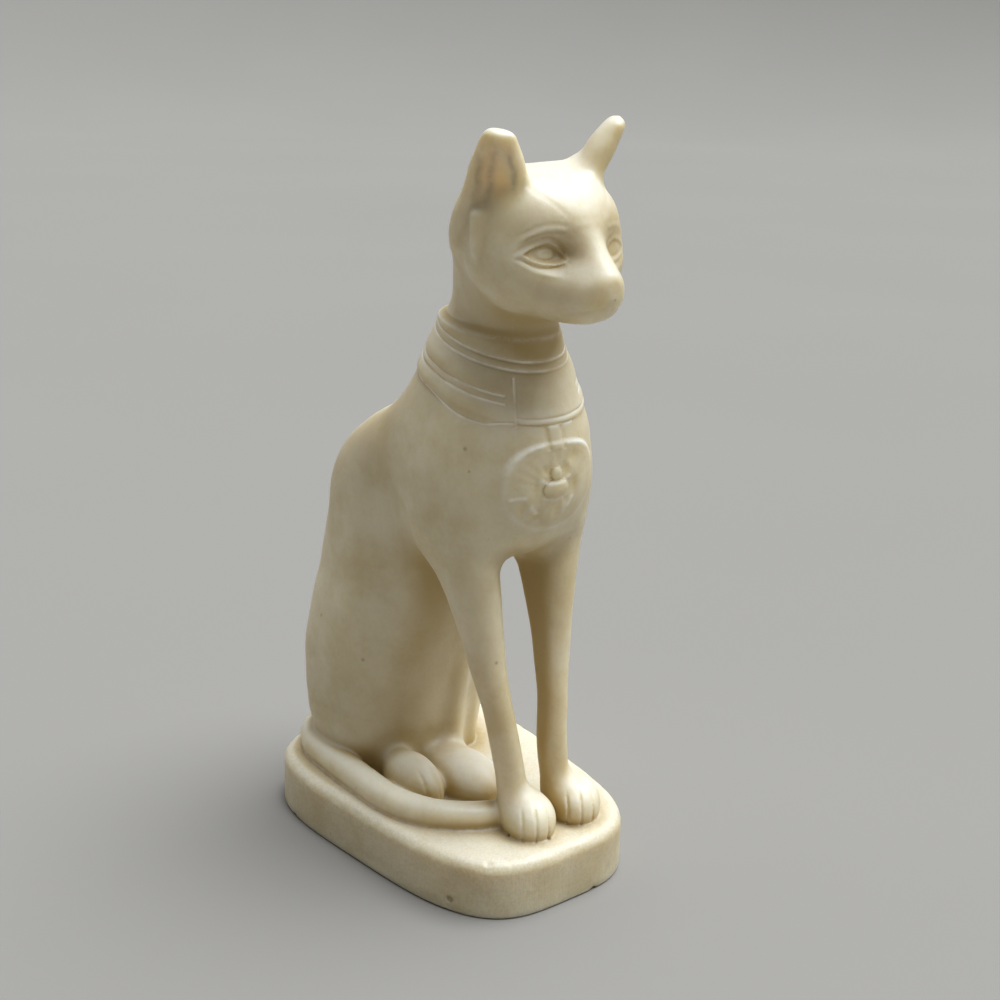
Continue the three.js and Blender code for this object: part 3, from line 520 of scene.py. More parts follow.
def from_oval(u, v, oval):
    """0 at an oval's middle and 1 on its outline, in squares."""
    return ((u - oval[0]) / oval[2]) ** 2 + ((v - oval[1]) / oval[3]) ** 2


def eye_relief(x, y, z):
    """How far the eyes and brows stand out of the face."""
    side = np.abs(x)
    relief = -SOCKET_DEPTH * np.exp(-from_oval(side, z, SOCKET))
    within = np.minimum(UPPER_LID(side) - 0.15 - z, z - LOWER_LID(side) - 0.1)
    relief = relief - EYE_OPENING_DEPTH * smooth_step(within, 0, 0.4) * window(side, *EYE_OPENING)
    relief = relief + EYEBALL_PROUD * (1 - smooth_step(from_oval(side, z, EYEBALL), 0.2, 1.4))
    for curve, start, end, lines in EYE_LINES:
        off = z - curve(side)
        reach = window(side, start, end)
        for above, half_width, proud in lines:
            relief = relief + proud * line(off - above, half_width) * reach
    from_corner = np.hypot(side - INNER_CORNER[0], z - INNER_CORNER[1])
    relief = relief - INNER_CORNER_DEPTH * line(from_corner, INNER_CORNER_WIDTH)
    return relief * smooth_step(-y, *FACE_FROM) * np.where(x > 0, LEFT_EYE_SHARE, 1)


# The head's rounded forms: middle, radii, lean.
SKULL = ((0, -13.4, 85.7), (10.2, 11.4, 10.2), 0.105)
BROW_BONE = ((3.5, -18.4, 88.0), (4.5, 4.8, 3.8))
CHEEK = ((5, -17.3, 82.2), (5.2, 6.4, 6))
JAW = ((0, -19.8, 79.5), (4.5, 6.0, 3.9))
MUZZLE = ((0, -24.5, 79.5), (3.85, 5.1, 3.4), 0.175)
BRIDGE = ((0, -22, 86.6, 2.4), (0, -27.2, 80.8, 1.8))
NOSE_RIDGE = ((0, -22.9, 86.2, 0.8), (0, -28.35, 81.3, 0.9))
CROWN_TOP = 95.4
CROWN_ROUND = 5
CROWN_RISE = 0.06                # the crown is a little higher on the cat's left
TEMPLE_LINE = ((6.4, 92.6), (3.2, 89.2))
TEMPLE_LINE_WIDTH = 0.36
TEMPLE_LINE_DEPTH = 0.05


def temple_lines(x, y, z):
    """A fine line from the inner foot of each ear down to the brow."""
    away = np.hypot(*off_stroke(np.abs(x), z, *TEMPLE_LINE))
    return line(away, TEMPLE_LINE_WIDTH) * smooth_step(-y, 16, 18)


MOUTH = curve_through((23.5, 25.3, 27.3, 28.8, 30.4), (76.6, 77.0, 77.5, 78.0, 78.9))
NOSTRIL = (1.9, 78.7)
MUZZLE_LINE_DEPTH = 0.2


def from_nostril(x, z):
    return np.hypot(np.abs(x) - NOSTRIL[0], z - NOSTRIL[1])


def muzzle_lines(x, y, z):
    """The mouth, the split below the nose and the nostrils."""
    mouth = line(z - MOUTH(-y), 0.3) * smooth_step(-y, 23.6, 25.4) * (z < 80)
    split = line(x, 0.28) * window(z, (77.0, 77.8), (78.5, 79.1)) * smooth_step(-y, 27.5, 29)
    nostril = line(from_nostril(x, z), 0.42) * smooth_step(-y, 28, 29.5)
    return np.maximum(np.maximum(0.55 * mouth, 0.6 * split), nostril)


def head(x, y, z):
    """The head with its face and ears."""
    side = np.abs(x)
    form = meet(ellipsoid(side, y, z, *SKULL), z - CROWN_TOP - CROWN_RISE * x, CROWN_ROUND)
    form = blend(form, ellipsoid(side, y, z, *BROW_BONE), 3)
    form = blend(form, ellipsoid(side, y, z, *CHEEK), 3)
    form = blend(form, rod(x, y, z, *LEFT_EAR_FOOT), 2)
    form = blend(form, ellipsoid(x, y, z, *JAW), 3)
    form = blend(form, ellipsoid(x, y, z, *MUZZLE), 4.5)
    form = blend(form, rod(x, y, z, *BRIDGE), 3.5)
    form = blend(form, rod(x, y, z, *NOSE_RIDGE), 2.4)
    form = form - eye_relief(x, y, z) + TEMPLE_LINE_DEPTH * temple_lines(x, y, z)
    form = form + MUZZLE_LINE_DEPTH * muzzle_lines(x, y, z)
    return blend(form, ears(x, y, z), EAR_ROOT)


# The broad collar stands proud of the neck at its top edge and dies into the shoulders.
COLLAR = {"front": -16.5, "rise": 0.27, "top": 72.0, "foot": 61.6, "thin": 0.2}
COLLAR_PROUD = 1.25
COLLAR_PROUD_IN_FRONT = 0.4
COLLAR_TOP_FALL = 0.14           # how much less its top edge rises than its rows
COLLAR_MIDDLE = -6
COLLAR_BEHIND = (-14.5, -4)      # from front to back, where it comes to stand at its proudest
# Soft swells around the collar: the row that each runs along, half its width.
COLLAR_SWELLS = ((66.1, 1.1), (62.6, 0.8), (70.4, 1.3))
COLLAR_SWELL_HEIGHT = 0.14
LINE_WIDTH = 0.2
COLLAR_LINE_DEPTH = 0.15
UPPER_PAIR = (68.9, 67.8)
LOWER_PAIR = (64.7, 63.75)
PANEL_EDGES = (-32, 34)          # degrees from the front, where the lower pair stops
UPRIGHT_LINE = -24.5             # degrees from the front
UPRIGHT_REACH = 10               # how far it stands from the collar's middle
UPRIGHT_FOOT = (60.8, 61.2)
UPRIGHT_TOP = (66.9, 67.4)
# Where the foot line runs on the cat's right: degrees from the front, height in rows.
FOOT_LINE_RIGHT = curve_through(
    (-150, -100, -75, -60, -45, -32, -24),
    (61.6, 61.5, 61.0, 60.7, 60.8, 61.5, 61.8),
)
FOOT_LINES_FRONT = (62.35, 61.45)
# Where the two foot lines in front die out on the cat's left, in degrees.
FOOT_LINE_ENDS = ((75, 90), (10, 22))


def collar_row(y, z):
    """Height on the collar, whose rows are level in front and rise towards the nape."""
    return z - COLLAR["rise"] * (y - COLLAR["front"])


def collar_top(y):
    """The row that the collar's top edge has reached, from front to back."""
    return COLLAR["top"] - COLLAR_TOP_FALL * (y - COLLAR["front"])


def collar_offsets(x, y, z):
    """How far off each cut line of the collar a place lies, above or below it (for the upright
    line, beside it), and how strong that line is there."""
    row = collar_row(y, z)
    turn = np.degrees(np.arctan2(x, -(y - COLLAR_MIDDLE)))
    past_panel = np.maximum(
        1 - smooth_step(turn, PANEL_EDGES[0], PANEL_EDGES[0] + 4),
        smooth_step(turn, PANEL_EDGES[1] - 4, PANEL_EDGES[1]),
    )
    front = window(turn, (UPRIGHT_LINE - 1, UPRIGHT_LINE), FOOT_LINE_ENDS[0])
    short = front * (1 - smooth_step(turn, *FOOT_LINE_ENDS[1]))
    beside = np.radians(turn - UPRIGHT_LINE) * UPRIGHT_REACH
    upright = window(row, UPRIGHT_FOOT, UPRIGHT_TOP)
    everywhere = np.ones(row.shape)
    return [
        (row - UPPER_PAIR[0], everywhere), (row - UPPER_PAIR[1], everywhere),
        (row - LOWER_PAIR[0], past_panel), (row - LOWER_PAIR[1], past_panel),
        (row - FOOT_LINE_RIGHT(turn), 1 - front), (row - FOOT_LINES_FRONT[0], front),
        (row - FOOT_LINES_FRONT[1], short), (beside, upright * (np.abs(beside) < 2)),
    ]


def collar_lines(x, y, z):
    """1 on the fine lines cut into the collar."""
    lines = 0
    for off, strength in collar_offsets(x, y, z):
        lines = np.maximum(lines, line(off, LINE_WIDTH) * strength)
    return lines


def collar_relief(x, y, z):
    """How far the collar stands out of the neck."""
    row = collar_row(y, z)
    top = collar_top(y)
    share = np.clip((row - COLLAR["foot"]) / (COLLAR["top"] - COLLAR["foot"]), 0, 1)
    behind = smooth_step(y, *COLLAR_BEHIND)
    proud = COLLAR_PROUD_IN_FRONT + (COLLAR_PROUD - COLLAR_PROUD_IN_FRONT) * behind
    thick = COLLAR["thin"] + (proud - COLLAR["thin"]) * share
    soft = 0.35 + 0.75 * (1 - behind)
    relief = thick * window(row, (COLLAR["foot"] - 0.5, COLLAR["foot"] + 0.5), (top - soft, top + soft))
    swell = sum(line(row - at_row, half_width) for at_row, half_width in COLLAR_SWELLS)
    return relief + COLLAR_SWELL_HEIGHT * swell - COLLAR_LINE_DEPTH * collar_lines(x, y, z)


# A strap joins the collar to the pectoral, a plate with a small winged figure.
PECTORAL = {"up": 52.2, "half": 7.745, "high": 6.25, "raise": 0.62}
STRAP = {"left": (-1.35, -0.85), "right": (0.55, 1.05), "foot": (57.4, 57.8), "top": (60.6, 61.0)}
STRAP_GROOVES = (-1.45, 1.15)
STRAP_HEIGHT = 0.1
STRAP_GROOVE_DEPTH = 0.13
STRAP_STAIN = ((57.6, 58.2), (60.6, 61.2))
CHEST_FACE = -9                  # what is carved on the chest lies in front of this
# The winged figure's rounded parts, in halves of the plate's width and height: middle's place
# across and up, half width, half height. Then how far each stands out.
SMALL_HEAD, SMALL_HEAD_PROUD = (-0.05, 0.34, 0.13, 0.17), 0.85
SMALL_BODY, SMALL_BODY_PROUD = (-0.04, 0, 0.29, 0.22), 0.95
SKIRT, SKIRT_PROUD = (-0.05, -0.5, 0.32, 0.32), 0.34
PLEATS, PLEAT_DEPTH = 30, 0.06
PLEATS_FROM = (-0.04, 0.4)       # the place that the pleats spread from
WINGS_FROM = (-0.03, -0.05)      # the place that the feathers spread from
WINGS_PROUD = 0.12
FEATHERS, FEATHER_DEPTH = 26, 0.035
PLATE_PROUD = 0.5
PLATE_DISH = 0.2
RIM_PROUD = 0.2
STROKE_WIDTH = 0.042
STROKE_PROUD = 0.18
# Fine raised strokes on the plate: from, to, in halves of its width and height.
STROKES = (
    ((-0.88, -0.17), (-0.66, -0.15)),
    ((-0.3, -0.2), (-0.05, -0.25)),
    ((-0.05, -0.25), (0.19, -0.18)),
    ((-0.37, 0.2), (-0.22, 0.13)),
    ((-0.22, 0.13), (0.06, 0.12)),
    ((0.06, 0.12), (0.24, 0.22)),
    ((-0.52, -0.36), (-0.4, -0.52)),
    ((0.36, -0.28), (0.28, -0.48)),
)
DEEP_PLACE_DEPTH = 0.4
# Deeper places on the plate, where brown dirt has gathered: middle, half width, half height.
DEEP_PLACES = (
    (-0.24, 0.42, 0.1, 0.12),
    (0.16, 0.4, 0.1, 0.12),
    (-0.47, 0.03, 0.1, 0.2),
    (0.36, 0.62, 0.14, 0.14),
    (0.38, 0.0, 0.09, 0.18),
    (-0.68, -0.4, 0.07, 0.14),
    (-0.42, -0.6, 0.1, 0.1),
    (-0.02, -0.5, 0.07, 0.16),
)


def strap_relief(x, z):
    """How far the strap stands out of the chest, between its two grooves."""
    across = window(x, STRAP["left"], STRAP["right"])
    grooves = line(x - STRAP_GROOVES[0], 0.45) + line(x - STRAP_GROOVES[1], 0.4)
    relief = STRAP_HEIGHT * across - STRAP_GROOVE_DEPTH * grooves
    return relief * window(z, STRAP["foot"], STRAP["top"])


def on_plate(x, z):
    """Place on the plate, in halves of its width and height."""
    return x / PECTORAL["half"], (z - PECTORAL["up"]) / PECTORAL["high"]


def plate_reach(u, v):
    """1 on the plate's outline, which is squarer above than below."""
    corners = 2 + 0.8 * smooth_step(v, -0.2, 0.5)
    return (np.abs(u) ** corners + np.abs(v) ** corners) ** (1 / corners)


def pectoral_rim(u, v):
    """1 on the plate's rim, strongest at its two shoulders, and none where the strap joins."""
    shoulders = smooth_step(v, 0.25, 0.7) * smooth_step(np.abs(u + 0.07), 0.16, 0.3)
    strength = np.where(v > 0.8, shoulders, 0.35 + 0.65 * shoulders)
    return line(plate_reach(u, v) - 0.99, 0.05) * strength


def pectoral_strokes(u, v):
    nearest = np.inf
    for start, end in STROKES:
        nearest = np.minimum(nearest, np.hypot(*off_stroke(u, v, start, end)))
    return line(nearest, STROKE_WIDTH)


def pectoral_hollows(u, v):
    deep = 0
    for middle_u, middle_v, wide, high in DEEP_PLACES:
        deep = np.maximum(deep, line(np.hypot((u - middle_u) / wide, (v - middle_v) / high), 1))
    return deep


def dome(u, v, oval):
    """A round boss on the plate, 1 high at its middle."""
    return np.sqrt(np.clip(1 - from_oval(u, v, oval), 0, 1))


def pectoral_relief(x, y, z):
    """How far the pectoral stands out of the chest."""
    u, v = on_plate(x, z)
    reach = plate_reach(u, v)
    upper = smooth_step(v, -0.7, 0.5)
    plate = PLATE_PROUD * (1 - smooth_step(reach, 0.97 - 0.1 * (1 - upper), 1.06))
    plate = plate * (0.45 + 0.55 * upper) - PLATE_DISH * upper * (1 - smooth_step(reach, 0.8, 0.94))
    head = SMALL_HEAD_PROUD * dome(u, v, SMALL_HEAD)
    body = SMALL_BODY_PROUD * dome(u, v, SMALL_BODY)
    pleats = np.cos(PLEATS * np.arctan2(u - PLEATS_FROM[0], PLEATS_FROM[1] - v))
    skirt = (SKIRT_PROUD + PLEAT_DEPTH * pleats) * dome(u, v, SKIRT)
    beside = u - WINGS_FROM[0]
    above = v - WINGS_FROM[1]
    fan = np.cos(FEATHERS * np.arctan2(above, np.abs(beside)))
    wings = smooth_step(np.hypot(beside, above), 0.3, 0.42) * (1 - smooth_step(reach, 0.84, 0.92))
    wings = wings * smooth_step(v, -0.12, 0.05) * (WINGS_PROUD + FEATHER_DEPTH * fan)
    made = np.maximum(np.maximum(head, body), np.maximum(skirt, wings))
    made = made + STROKE_PROUD * pectoral_strokes(u, v)
    relief = plate + RIM_PROUD * pectoral_rim(u, v) + made
    relief = relief - DEEP_PLACE_DEPTH * pectoral_hollows(u, v) * (reach < 0.92)
    return np.where((y < CHEST_FACE) & (reach < 1.3), relief * PECTORAL["raise"], 0)


# Putting the figure together, in hundredths of its height.

# The seam between head and neck is soft at the throat and close behind the ears.
THROAT_SEAM = 5
NAPE_SEAM = 1.6
THROAT_HEIGHTS = (75, 82)
FORELEG_SEAM = 3
PAW_SEAM = 2.6
HIND_FOOT_SEAM = 3.2
TAIL_SEAM = 0.8
# The heights that each part of the figure lies within.
COLLAR_SPAN = (55, 80)
CHEST_SPAN = (42, 63)
FOLD_TOP = 24
FORELEG_TOP = 68
FEET_TOP = 10
HEAD_FOOT = 70


def figure(x, y, z):
    """The whole cat without its plinth."""
    low, high = z.min(), z.max()
    form = trunk(x, y, z)
    if high > COLLAR_SPAN[0] and low < COLLAR_SPAN[1]:
        form = form - collar_relief(x, y, z)
    if high > CHEST_SPAN[0] and low < CHEST_SPAN[1]:
        form = form - pectoral_relief(x, y, z) - strap_relief(x, z) * (y < CHEST_FACE)
    if low < FOLD_TOP:
        form = belly_fold(x, y, z, form)
    if low < FORELEG_TOP:
        form = blend(form, forelegs(x, y, z), FORELEG_SEAM)
    if low < FEET_TOP:
        form = blend(form, paws(x, y, z), PAW_SEAM)
        form = blend(form, hind_feet(x, y, z), HIND_FOOT_SEAM)
        form = blend(form, tail(x, y, z), TAIL_SEAM)
    if high > HEAD_FOOT:
        throat = (1 - smooth_step(z, *THROAT_HEIGHTS)) * smooth_step(-y, 2, 12)
        form = blend(form, head(x, y, z), NAPE_SEAM + (THROAT_SEAM - NAPE_SEAM) * throat)
    return form


# Chips and knocks in the plinth's edges: x, y, z, radius in millimetres.
CHIPS = (
    (9.0, -51.0, -0.6, 1.5),
    (-22.5, -44.5, 16.6, 1.5),
    (-33.6, -8.0, 17.0, 1.7),
    (26.0, -43.5, 16.9, 1.6),
    (35.5, 12.0, 16.8, 1.9),
    (-12.0, 51.6, 16.5, 1.8),
    (33.5, 38.0, -0.5, 1.9),
    (-36.9, 30.0, -0.4, 1.7),
)
CHIP_ROUND = 0.5
# Small flaws in the stone: x, y, z, then the radius of the pit and that of the brown mark
# there, in millimetres, or 0 where there is none.
FLAWS = (
    (-9.4, -37.1, 16.2, 0.55, 0.7),
    (-2.0, -44.4, 16.2, 0.5, 0.6),
    (-24.2, 21.4, 106.6, 0.6, 0.8),
    (-23.9, 13.4, 100.2, 0.5, 0.7),
    (-2.6, -39.4, 126.6, 0.45, 0),
    (-20.3, -29.6, 97.0, 0.45, 0.6),
    (-28.7, -36.5, 3.6, 0.9, 1.1),
    (14.5, -48.8, 5.0, 0, 1.2),
    (30.5, 24.0, 60.0, 0, 0.8),
    (12.0, 45.5, 42.0, 0, 0.9),
)
PIT_ROUND = 0.2


def plinth(x, y, z):
    """A slab whose outline is a rounded oblong, wider behind, with its edges rounded over."""
    half_length = PLINTH_LENGTH / 2 - PLINTH_WORN
    half_width = PLINTH_WIDTH / 2 - PLINTH_WORN
    half_width = half_width * (1 + PLINTH_TAPER * np.clip(y / half_length, -1.1, 1.1))
    u = np.abs(x) / half_width
    v = np.abs(y) / half_length
    k = (u ** PLINTH_CORNERS + v ** PLINTH_CORNERS) ** (1 / PLINTH_CORNERS)
    tilt = np.hypot(u ** (PLINTH_CORNERS - 1) / half_width, v ** (PLINTH_CORNERS - 1) / half_length)
    side = (k - 1) * np.maximum(k, 1e-3) ** (PLINTH_CORNERS - 1) / np.maximum(tilt, 1 / 60)
    side = np.where(k < 0.5, -PLINTH_DEEP_INSIDE, np.maximum(side, -PLINTH_DEEP_INSIDE))
    up = z > PLINTH_HEIGHT / 2
    edge = np.where(up, PLINTH_TOP_ROUND, PLINTH_FOOT_ROUND)
    flat = np.where(up, z - PLINTH_HEIGHT, -z)
    out_side = np.maximum(side + edge, 0)
    out_flat = np.maximum(flat + edge, 0)
    within = np.minimum(np.maximum(side + edge, flat + edge), 0)
    return np.hypot(out_side, out_flat) + within - edge


BROAD_SWELLS = swells(15, 11)
SMALL_SWELLS = swells(5.5, 23)
ROUGH_SWELLS = swells(2.0, 37)
BROAD_DEPTH = 0.08
SMALL_DEPTH = 0.025
ROUGH_DEPTH = 0.008
ROUGH_DEPTH_PLINTH = 0.022       # how much more there is on the plinth
FOOT_KEPT_FLAT = (1.2, 3.5)
PLINTH_UP_TO = (15, 18)


def unevenness(x, y, z):
    """How far the hand-worked surface wanders from its form, in millimetres."""
    off_foot = smooth_step(z, *FOOT_KEPT_FLAT)
    on_plinth = 1 - smooth_step(z, *PLINTH_UP_TO)
    soft = BROAD_DEPTH * BROAD_SWELLS(x, y, z) + SMALL_DEPTH * SMALL_SWELLS(x, y, z)
    rough = (ROUGH_DEPTH + ROUGH_DEPTH_PLINTH * on_plinth) * ROUGH_SWELLS(x, y, z)
    return (soft * (1 + 0.5 * on_plinth) + rough) * off_foot


def in_figure(points):
    """Places in hundredths of the figure's height, from millimetres."""
    x, y, z = points.T
    return x / UNIT, (y - FIGURE_FORWARD) / UNIT, (z - PLINTH_HEIGHT) / UNIT


def carving(points):
    """Distance from the whole object's surface, in millimetres, at points in millimetres."""
    x, y, z = points.T
    low = z.min()
    form = figure(*in_figure(points)) * UNIT
    form = np.maximum(form, PLINTH_HEIGHT - SINK * UNIT - z)
    if low < PLINTH_HEIGHT + 4:
        form = blend(form, plinth(x, y, z), FOOT_SEAM)
    form = form + unevenness(x, y, z)
    if low < PLINTH_HEIGHT + 4:
        for *middle, radius in CHIPS:
            form = meet(form, radius - np.linalg.norm(points - middle, axis=1), CHIP_ROUND)
    for *middle, pit, _ in FLAWS:
        if pit:
            form = meet(form, pit - np.linalg.norm(points - middle, axis=1), PIT_ROUND)
    return form


def in_chunks(work, points):
    return np.concatenate([work(points[n:n + CHUNK]) for n in range(0, len(points), CHUNK)])


def lean_of(points):
    """The way that the form's distance grows fastest, at each point."""
    lean = np.empty_like(points)
    for k in range(3):
        step = np.zeros(3)
        step[k] = LEAN_REACH
        ahead = in_chunks(carving, points + step)
        lean[:, k] = (ahead - in_chunks(carving, points - step)) / (2 * LEAN_REACH)
    return lean


# From the form to a closed mesh.

CORNERS = np.array([(n & 1, (n >> 1) & 1, n >> 2) for n in range(8)])
EDGES = [(a, a | bit) for a in range(8) for bit in (1, 2, 4) if not a & bit]


def in_one_piece(marked):
    """True if the marked corners of a cell hang together along its edges."""
    reached = marked & -marked
    for _ in range(4):
        for a, b in EDGES:
            both = (1 << a) | (1 << b)
            if marked & both == both and reached & both:
                reached |= both
    return reached == marked


ONE_SHEET = np.array([in_one_piece(n) and in_one_piece(255 - n) for n in range(256)])


def grid_lines():
    """Where the grid's planes lie along each axis, in whole blocks."""
    low, high = [np.array(corner) / MILLIMETRE for corner in cad_box]
    low = low - 1.37 * CELL
    lines = []
    for k in range(3):
        places = [low[k]]
        while places[-1] < high[k] + 2 * CELL or len(places) % BLOCK != 1:
            fine = 0
            if k == 2:
                fine = window(places[-1], *FINE_HEIGHTS)
            places.append(places[-1] + CELL + (LOW_CELL - CELL) * fine)
        lines.append(np.array(places))
    return lines


def place_on(lines, steps):
    """Places on the grid, from steps along its axes, which need not be whole."""
    return np.stack([np.interp(steps[:, k], np.arange(len(lines[k])), lines[k]) for k in range(3)], 1)


def sample_carving(lines):
    """The form's distance on a grid. Blocks that lie clear of the surface are filled at once."""
    blocks = [len(places) // BLOCK for places in lines]
    far = CELL * BLOCK
    values = np.full([len(places) for places in lines], far, np.float32)
    steps = np.indices(blocks).reshape(3, -1).T
    steps = steps[np.argsort(steps[:, 2], kind="stable")]
    middle = in_chunks(carving, place_on(lines, (steps + 0.5) * BLOCK))
    clear = np.abs(middle) > far * math.sqrt(3) / 2 * CLEAR
    for i, j, k in steps[clear & (middle < 0)] * BLOCK:
        values[i:i + BLOCK + 1, j:j + BLOCK + 1, k:k + BLOCK + 1] = -far
    inner = np.indices((BLOCK + 1,) * 3).reshape(3, -1).T
    work = steps[~clear] * BLOCK
    together = CHUNK // len(inner)
    for n in range(0, len(work), together):
        places = (work[n:n + together, None] + inner).reshape(-1, 3)
        values[tuple(places.T)] = carving(place_on(lines, places))
    return values


def marks_of(values):
    """For each cell, which of its eight corners lie inside."""
    inside = (values < 0).astype(np.uint8)
    nx, ny, nz = np.array(inside.shape) - 1
    marks = np.zeros((nx, ny, nz), np.uint8)
    for n, (i, j, k) in enumerate(CORNERS):
        marks |= inside[i:nx + i, j:ny + j, k:nz + k] << n
    return marks


def part_sheets(values):
    """Where two sheets of the surface would share a cell, fills the corner between them
    that is nearest to the surface, so that the skin closes as a single sheet."""
    while True:
        marks = marks_of(values)
        mixed = np.argwhere(~ONE_SHEET[marks])
        if len(mixed) == 0:
            return marks
        places = mixed[:, None] + CORNERS
        corner_values = values[tuple(places.reshape(-1, 3).T)].reshape(-1, 8)
        weakest = np.where(corner_values < 0, np.inf, corner_values).argmin(1)
        values[tuple((mixed + CORNERS[weakest]).T)] = -1e-3


def skin(values, marks, lines):
    """One point in each cell that the surface passes through, at the middle of its crossings,
    and a face across each grid line that it crosses."""
    cells = np.argwhere((marks > 0) & (marks < 255))
    number = np.full(marks.shape, -1, np.int32)
    number[tuple(cells.T)] = np.arange(len(cells))
    total = np.zeros((len(cells), 3))
    crossings = np.zeros(len(cells))
    for a, b in EDGES:
        va = values[tuple((cells + CORNERS[a]).T)]
        vb = values[tuple((cells + CORNERS[b]).T)]
        crossed = (va < 0) != (vb < 0)
        t = va[crossed] / (va[crossed] - vb[crossed])
        total[crossed] += CORNERS[a] + t[:, None] * (CORNERS[b] - CORNERS[a])
        crossings += crossed
    points = place_on(lines, cells + total / crossings[:, None])
    inside = values < 0
    quads = []
    for axis in range(3):
        first = [slice(1, -1)] * 3
        second = [slice(1, -1)] * 3
        first[axis] = slice(0, -1)
        second[axis] = slice(1, None)
        starts_inside = inside[tuple(first)]
        crossed = np.argwhere(starts_inside != inside[tuple(second)])
        outward = starts_inside[tuple(crossed.T)]
        offset = np.array([1, 1, 1])
        offset[axis] = 0
        corner = crossed + offset
        u = np.eye(3, dtype=int)[(axis + 1) % 3]
        v = np.eye(3, dtype=int)[(axis + 2) % 3]
        ring = [number[tuple((corner - shift).T)] for shift in (0 * u, u, u + v, v)]
        quad = np.stack(ring, 1)
        quad[~outward] = quad[~outward][:, ::-1]
        quads.append(quad)
    quads = np.concatenate(quads)
    short = np.linalg.norm(points[quads[:, 0]] - points[quads[:, 2]], axis=1)
    long = np.linalg.norm(points[quads[:, 1]] - points[quads[:, 3]], axis=1)
    one_way = quads[short <= long]
    other_way = quads[short > long]
    triangles = np.concatenate([
        one_way[:, (0, 1, 2)], one_way[:, (0, 2, 3)],
        other_way[:, (0, 1, 3)], other_way[:, (1, 2, 3)],
    ])
    return points, triangles


def settle(points, furthest):
    """Moves points onto the form's surface, by at most the given distance."""
    lean = lean_of(points)
    steep = np.maximum((lean ** 2).sum(1), 0.05)
    move = lean * (in_chunks(carving, points) / steep)[:, None]
    size = np.linalg.norm(move, axis=1)
    return points - move * np.minimum(1, furthest / np.maximum(size, 1e-9))[:, None]


def mesh_of(name, points, triangles):
    mesh = bpy.data.meshes.new(name)
    mesh.from_pydata(points * MILLIMETRE, [], triangles.tolist())
    return mesh


def points_of(mesh):
    flat = np.empty(len(mesh.vertices) * 3, np.float32)
    mesh.vertices.foreach_get("co", flat)
    return flat.reshape(-1, 3).astype(float) / MILLIMETRE


def carve_cat():
    """The whole object's mesh, and its points in millimetres."""
    cad_low, cad_high = [np.array(corner) / MILLIMETRE for corner in cad_box]
    lines = grid_lines()
    values = sample_carving(lines)
    points, triangles = skin(values, part_sheets(values), lines)
    points = settle(points, FIRST_SETTLE)
    rough = bpy.data.objects.new("rough_cat", mesh_of("rough_cat", points, triangles))
    bpy.context.collection.objects.link(rough)
    thin = rough.modifiers.new("thin", "DECIMATE")
    thin.ratio = min(1.0, MOST_TRIANGLES / len(triangles))
    bpy.context.view_layer.update()
    mesh = bpy.data.meshes.new_from_object(rough.evaluated_get(bpy.context.evaluated_depsgraph_get()))
    bpy.data.objects.remove(rough)
    mesh.name = "carved_cat"
    points = np.clip(settle(points_of(mesh), LAST_SETTLE), cad_low, cad_high)
    points[np.abs(points[:, 2]) < FLAT_WITHIN, 2] = 0
    mesh.vertices.foreach_set("co", (points * MILLIMETRE).astype(np.float32).ravel())
    mesh.polygons.foreach_set("use_smooth", np.ones(len(mesh.polygons), bool))
    mesh.update()
    return mesh, points


# What the surface has gathered and lost over the years, and where light and shade are painted on it, as
# values on the mesh's points.

# Painted shade in the hollows: how far out it looks for other parts of the carving, and where it is
# weaker.
SHADE_REACHES = (3.0, 6.0, 12.0, 22.0)
PAW_SHADE_SHARE = 0.45            # the painted shade is weaker on the plinth's top and the paws
PAW_SHADE_UP_TO = (26, 50)
EAR_SHADE_FROM = (176, 184)       # above this only little painted shade lies in the hollows
EAR_SHADE_LESS = 0.8
EDGE_REACH = 1.6


def painted_shade_in_hollows(points, outward):
    """Painted shade: 0 in the open and towards 1 where other parts of the carving stand close around.
    """
    total = 0
    for reach in SHADE_REACHES:
        free = in_chunks(carving, points + outward * reach) / reach
        total = total + np.clip(1 - free, 0, 1)
    in_ear = smooth_step(points[:, 2], *EAR_SHADE_FROM)
    shade_share_by_height = PAW_SHADE_SHARE + (1 - PAW_SHADE_SHARE) * smooth_step(points[:, 2], *PAW_SHADE_UP_TO)
    return total / len(SHADE_REACHES) * (1 - EAR_SHADE_LESS * in_ear) * shade_share_by_height


def worn_and_glowing_edges(points, outward):
    """Wear and a painted glow of light through thin stone: 0 on flat stone and towards 1 on thin edges
    that stand out.
    """
    return np.clip(1 + in_chunks(carving, points - outward * EDGE_REACH) / EDGE_REACH, 0, 1)


def powder(points):
    """White stone dust left in the cut lines."""
    x, y, z = in_figure(points)
    in_collar = (z > 57) & (z < 78)
    under_top = line(collar_row(y, z) - collar_top(y) + 0.3, 0.25)
    dust = np.where(in_collar, 0.35 * under_top, 0)
    u, v = on_plate(x, z)
    on_chest = (y < CHEST_FACE) & (plate_reach(u, v) < 1.2)
    carved = np.maximum(pectoral_rim(u, v), 0.6 * pectoral_strokes(u, v))
    dust = np.maximum(dust, np.where(on_chest, carved, 0))
    across, back = paw_place(x, y)
    dust = np.maximum(dust, np.where((z < 5.5) & (z > 0.3), 0.35 * toe_lines(across, back), 0))
    near_tail = np.full(len(points), 9.0)
    low = z < TAIL_REACH
    near_tail[low] = tail(x[low], y[low], z[low])
    foot = line(near_tail - 0.1, 0.35) * line(z - 0.1, 0.3) * (x < -4)
    return np.maximum(dust, 0.8 * foot)


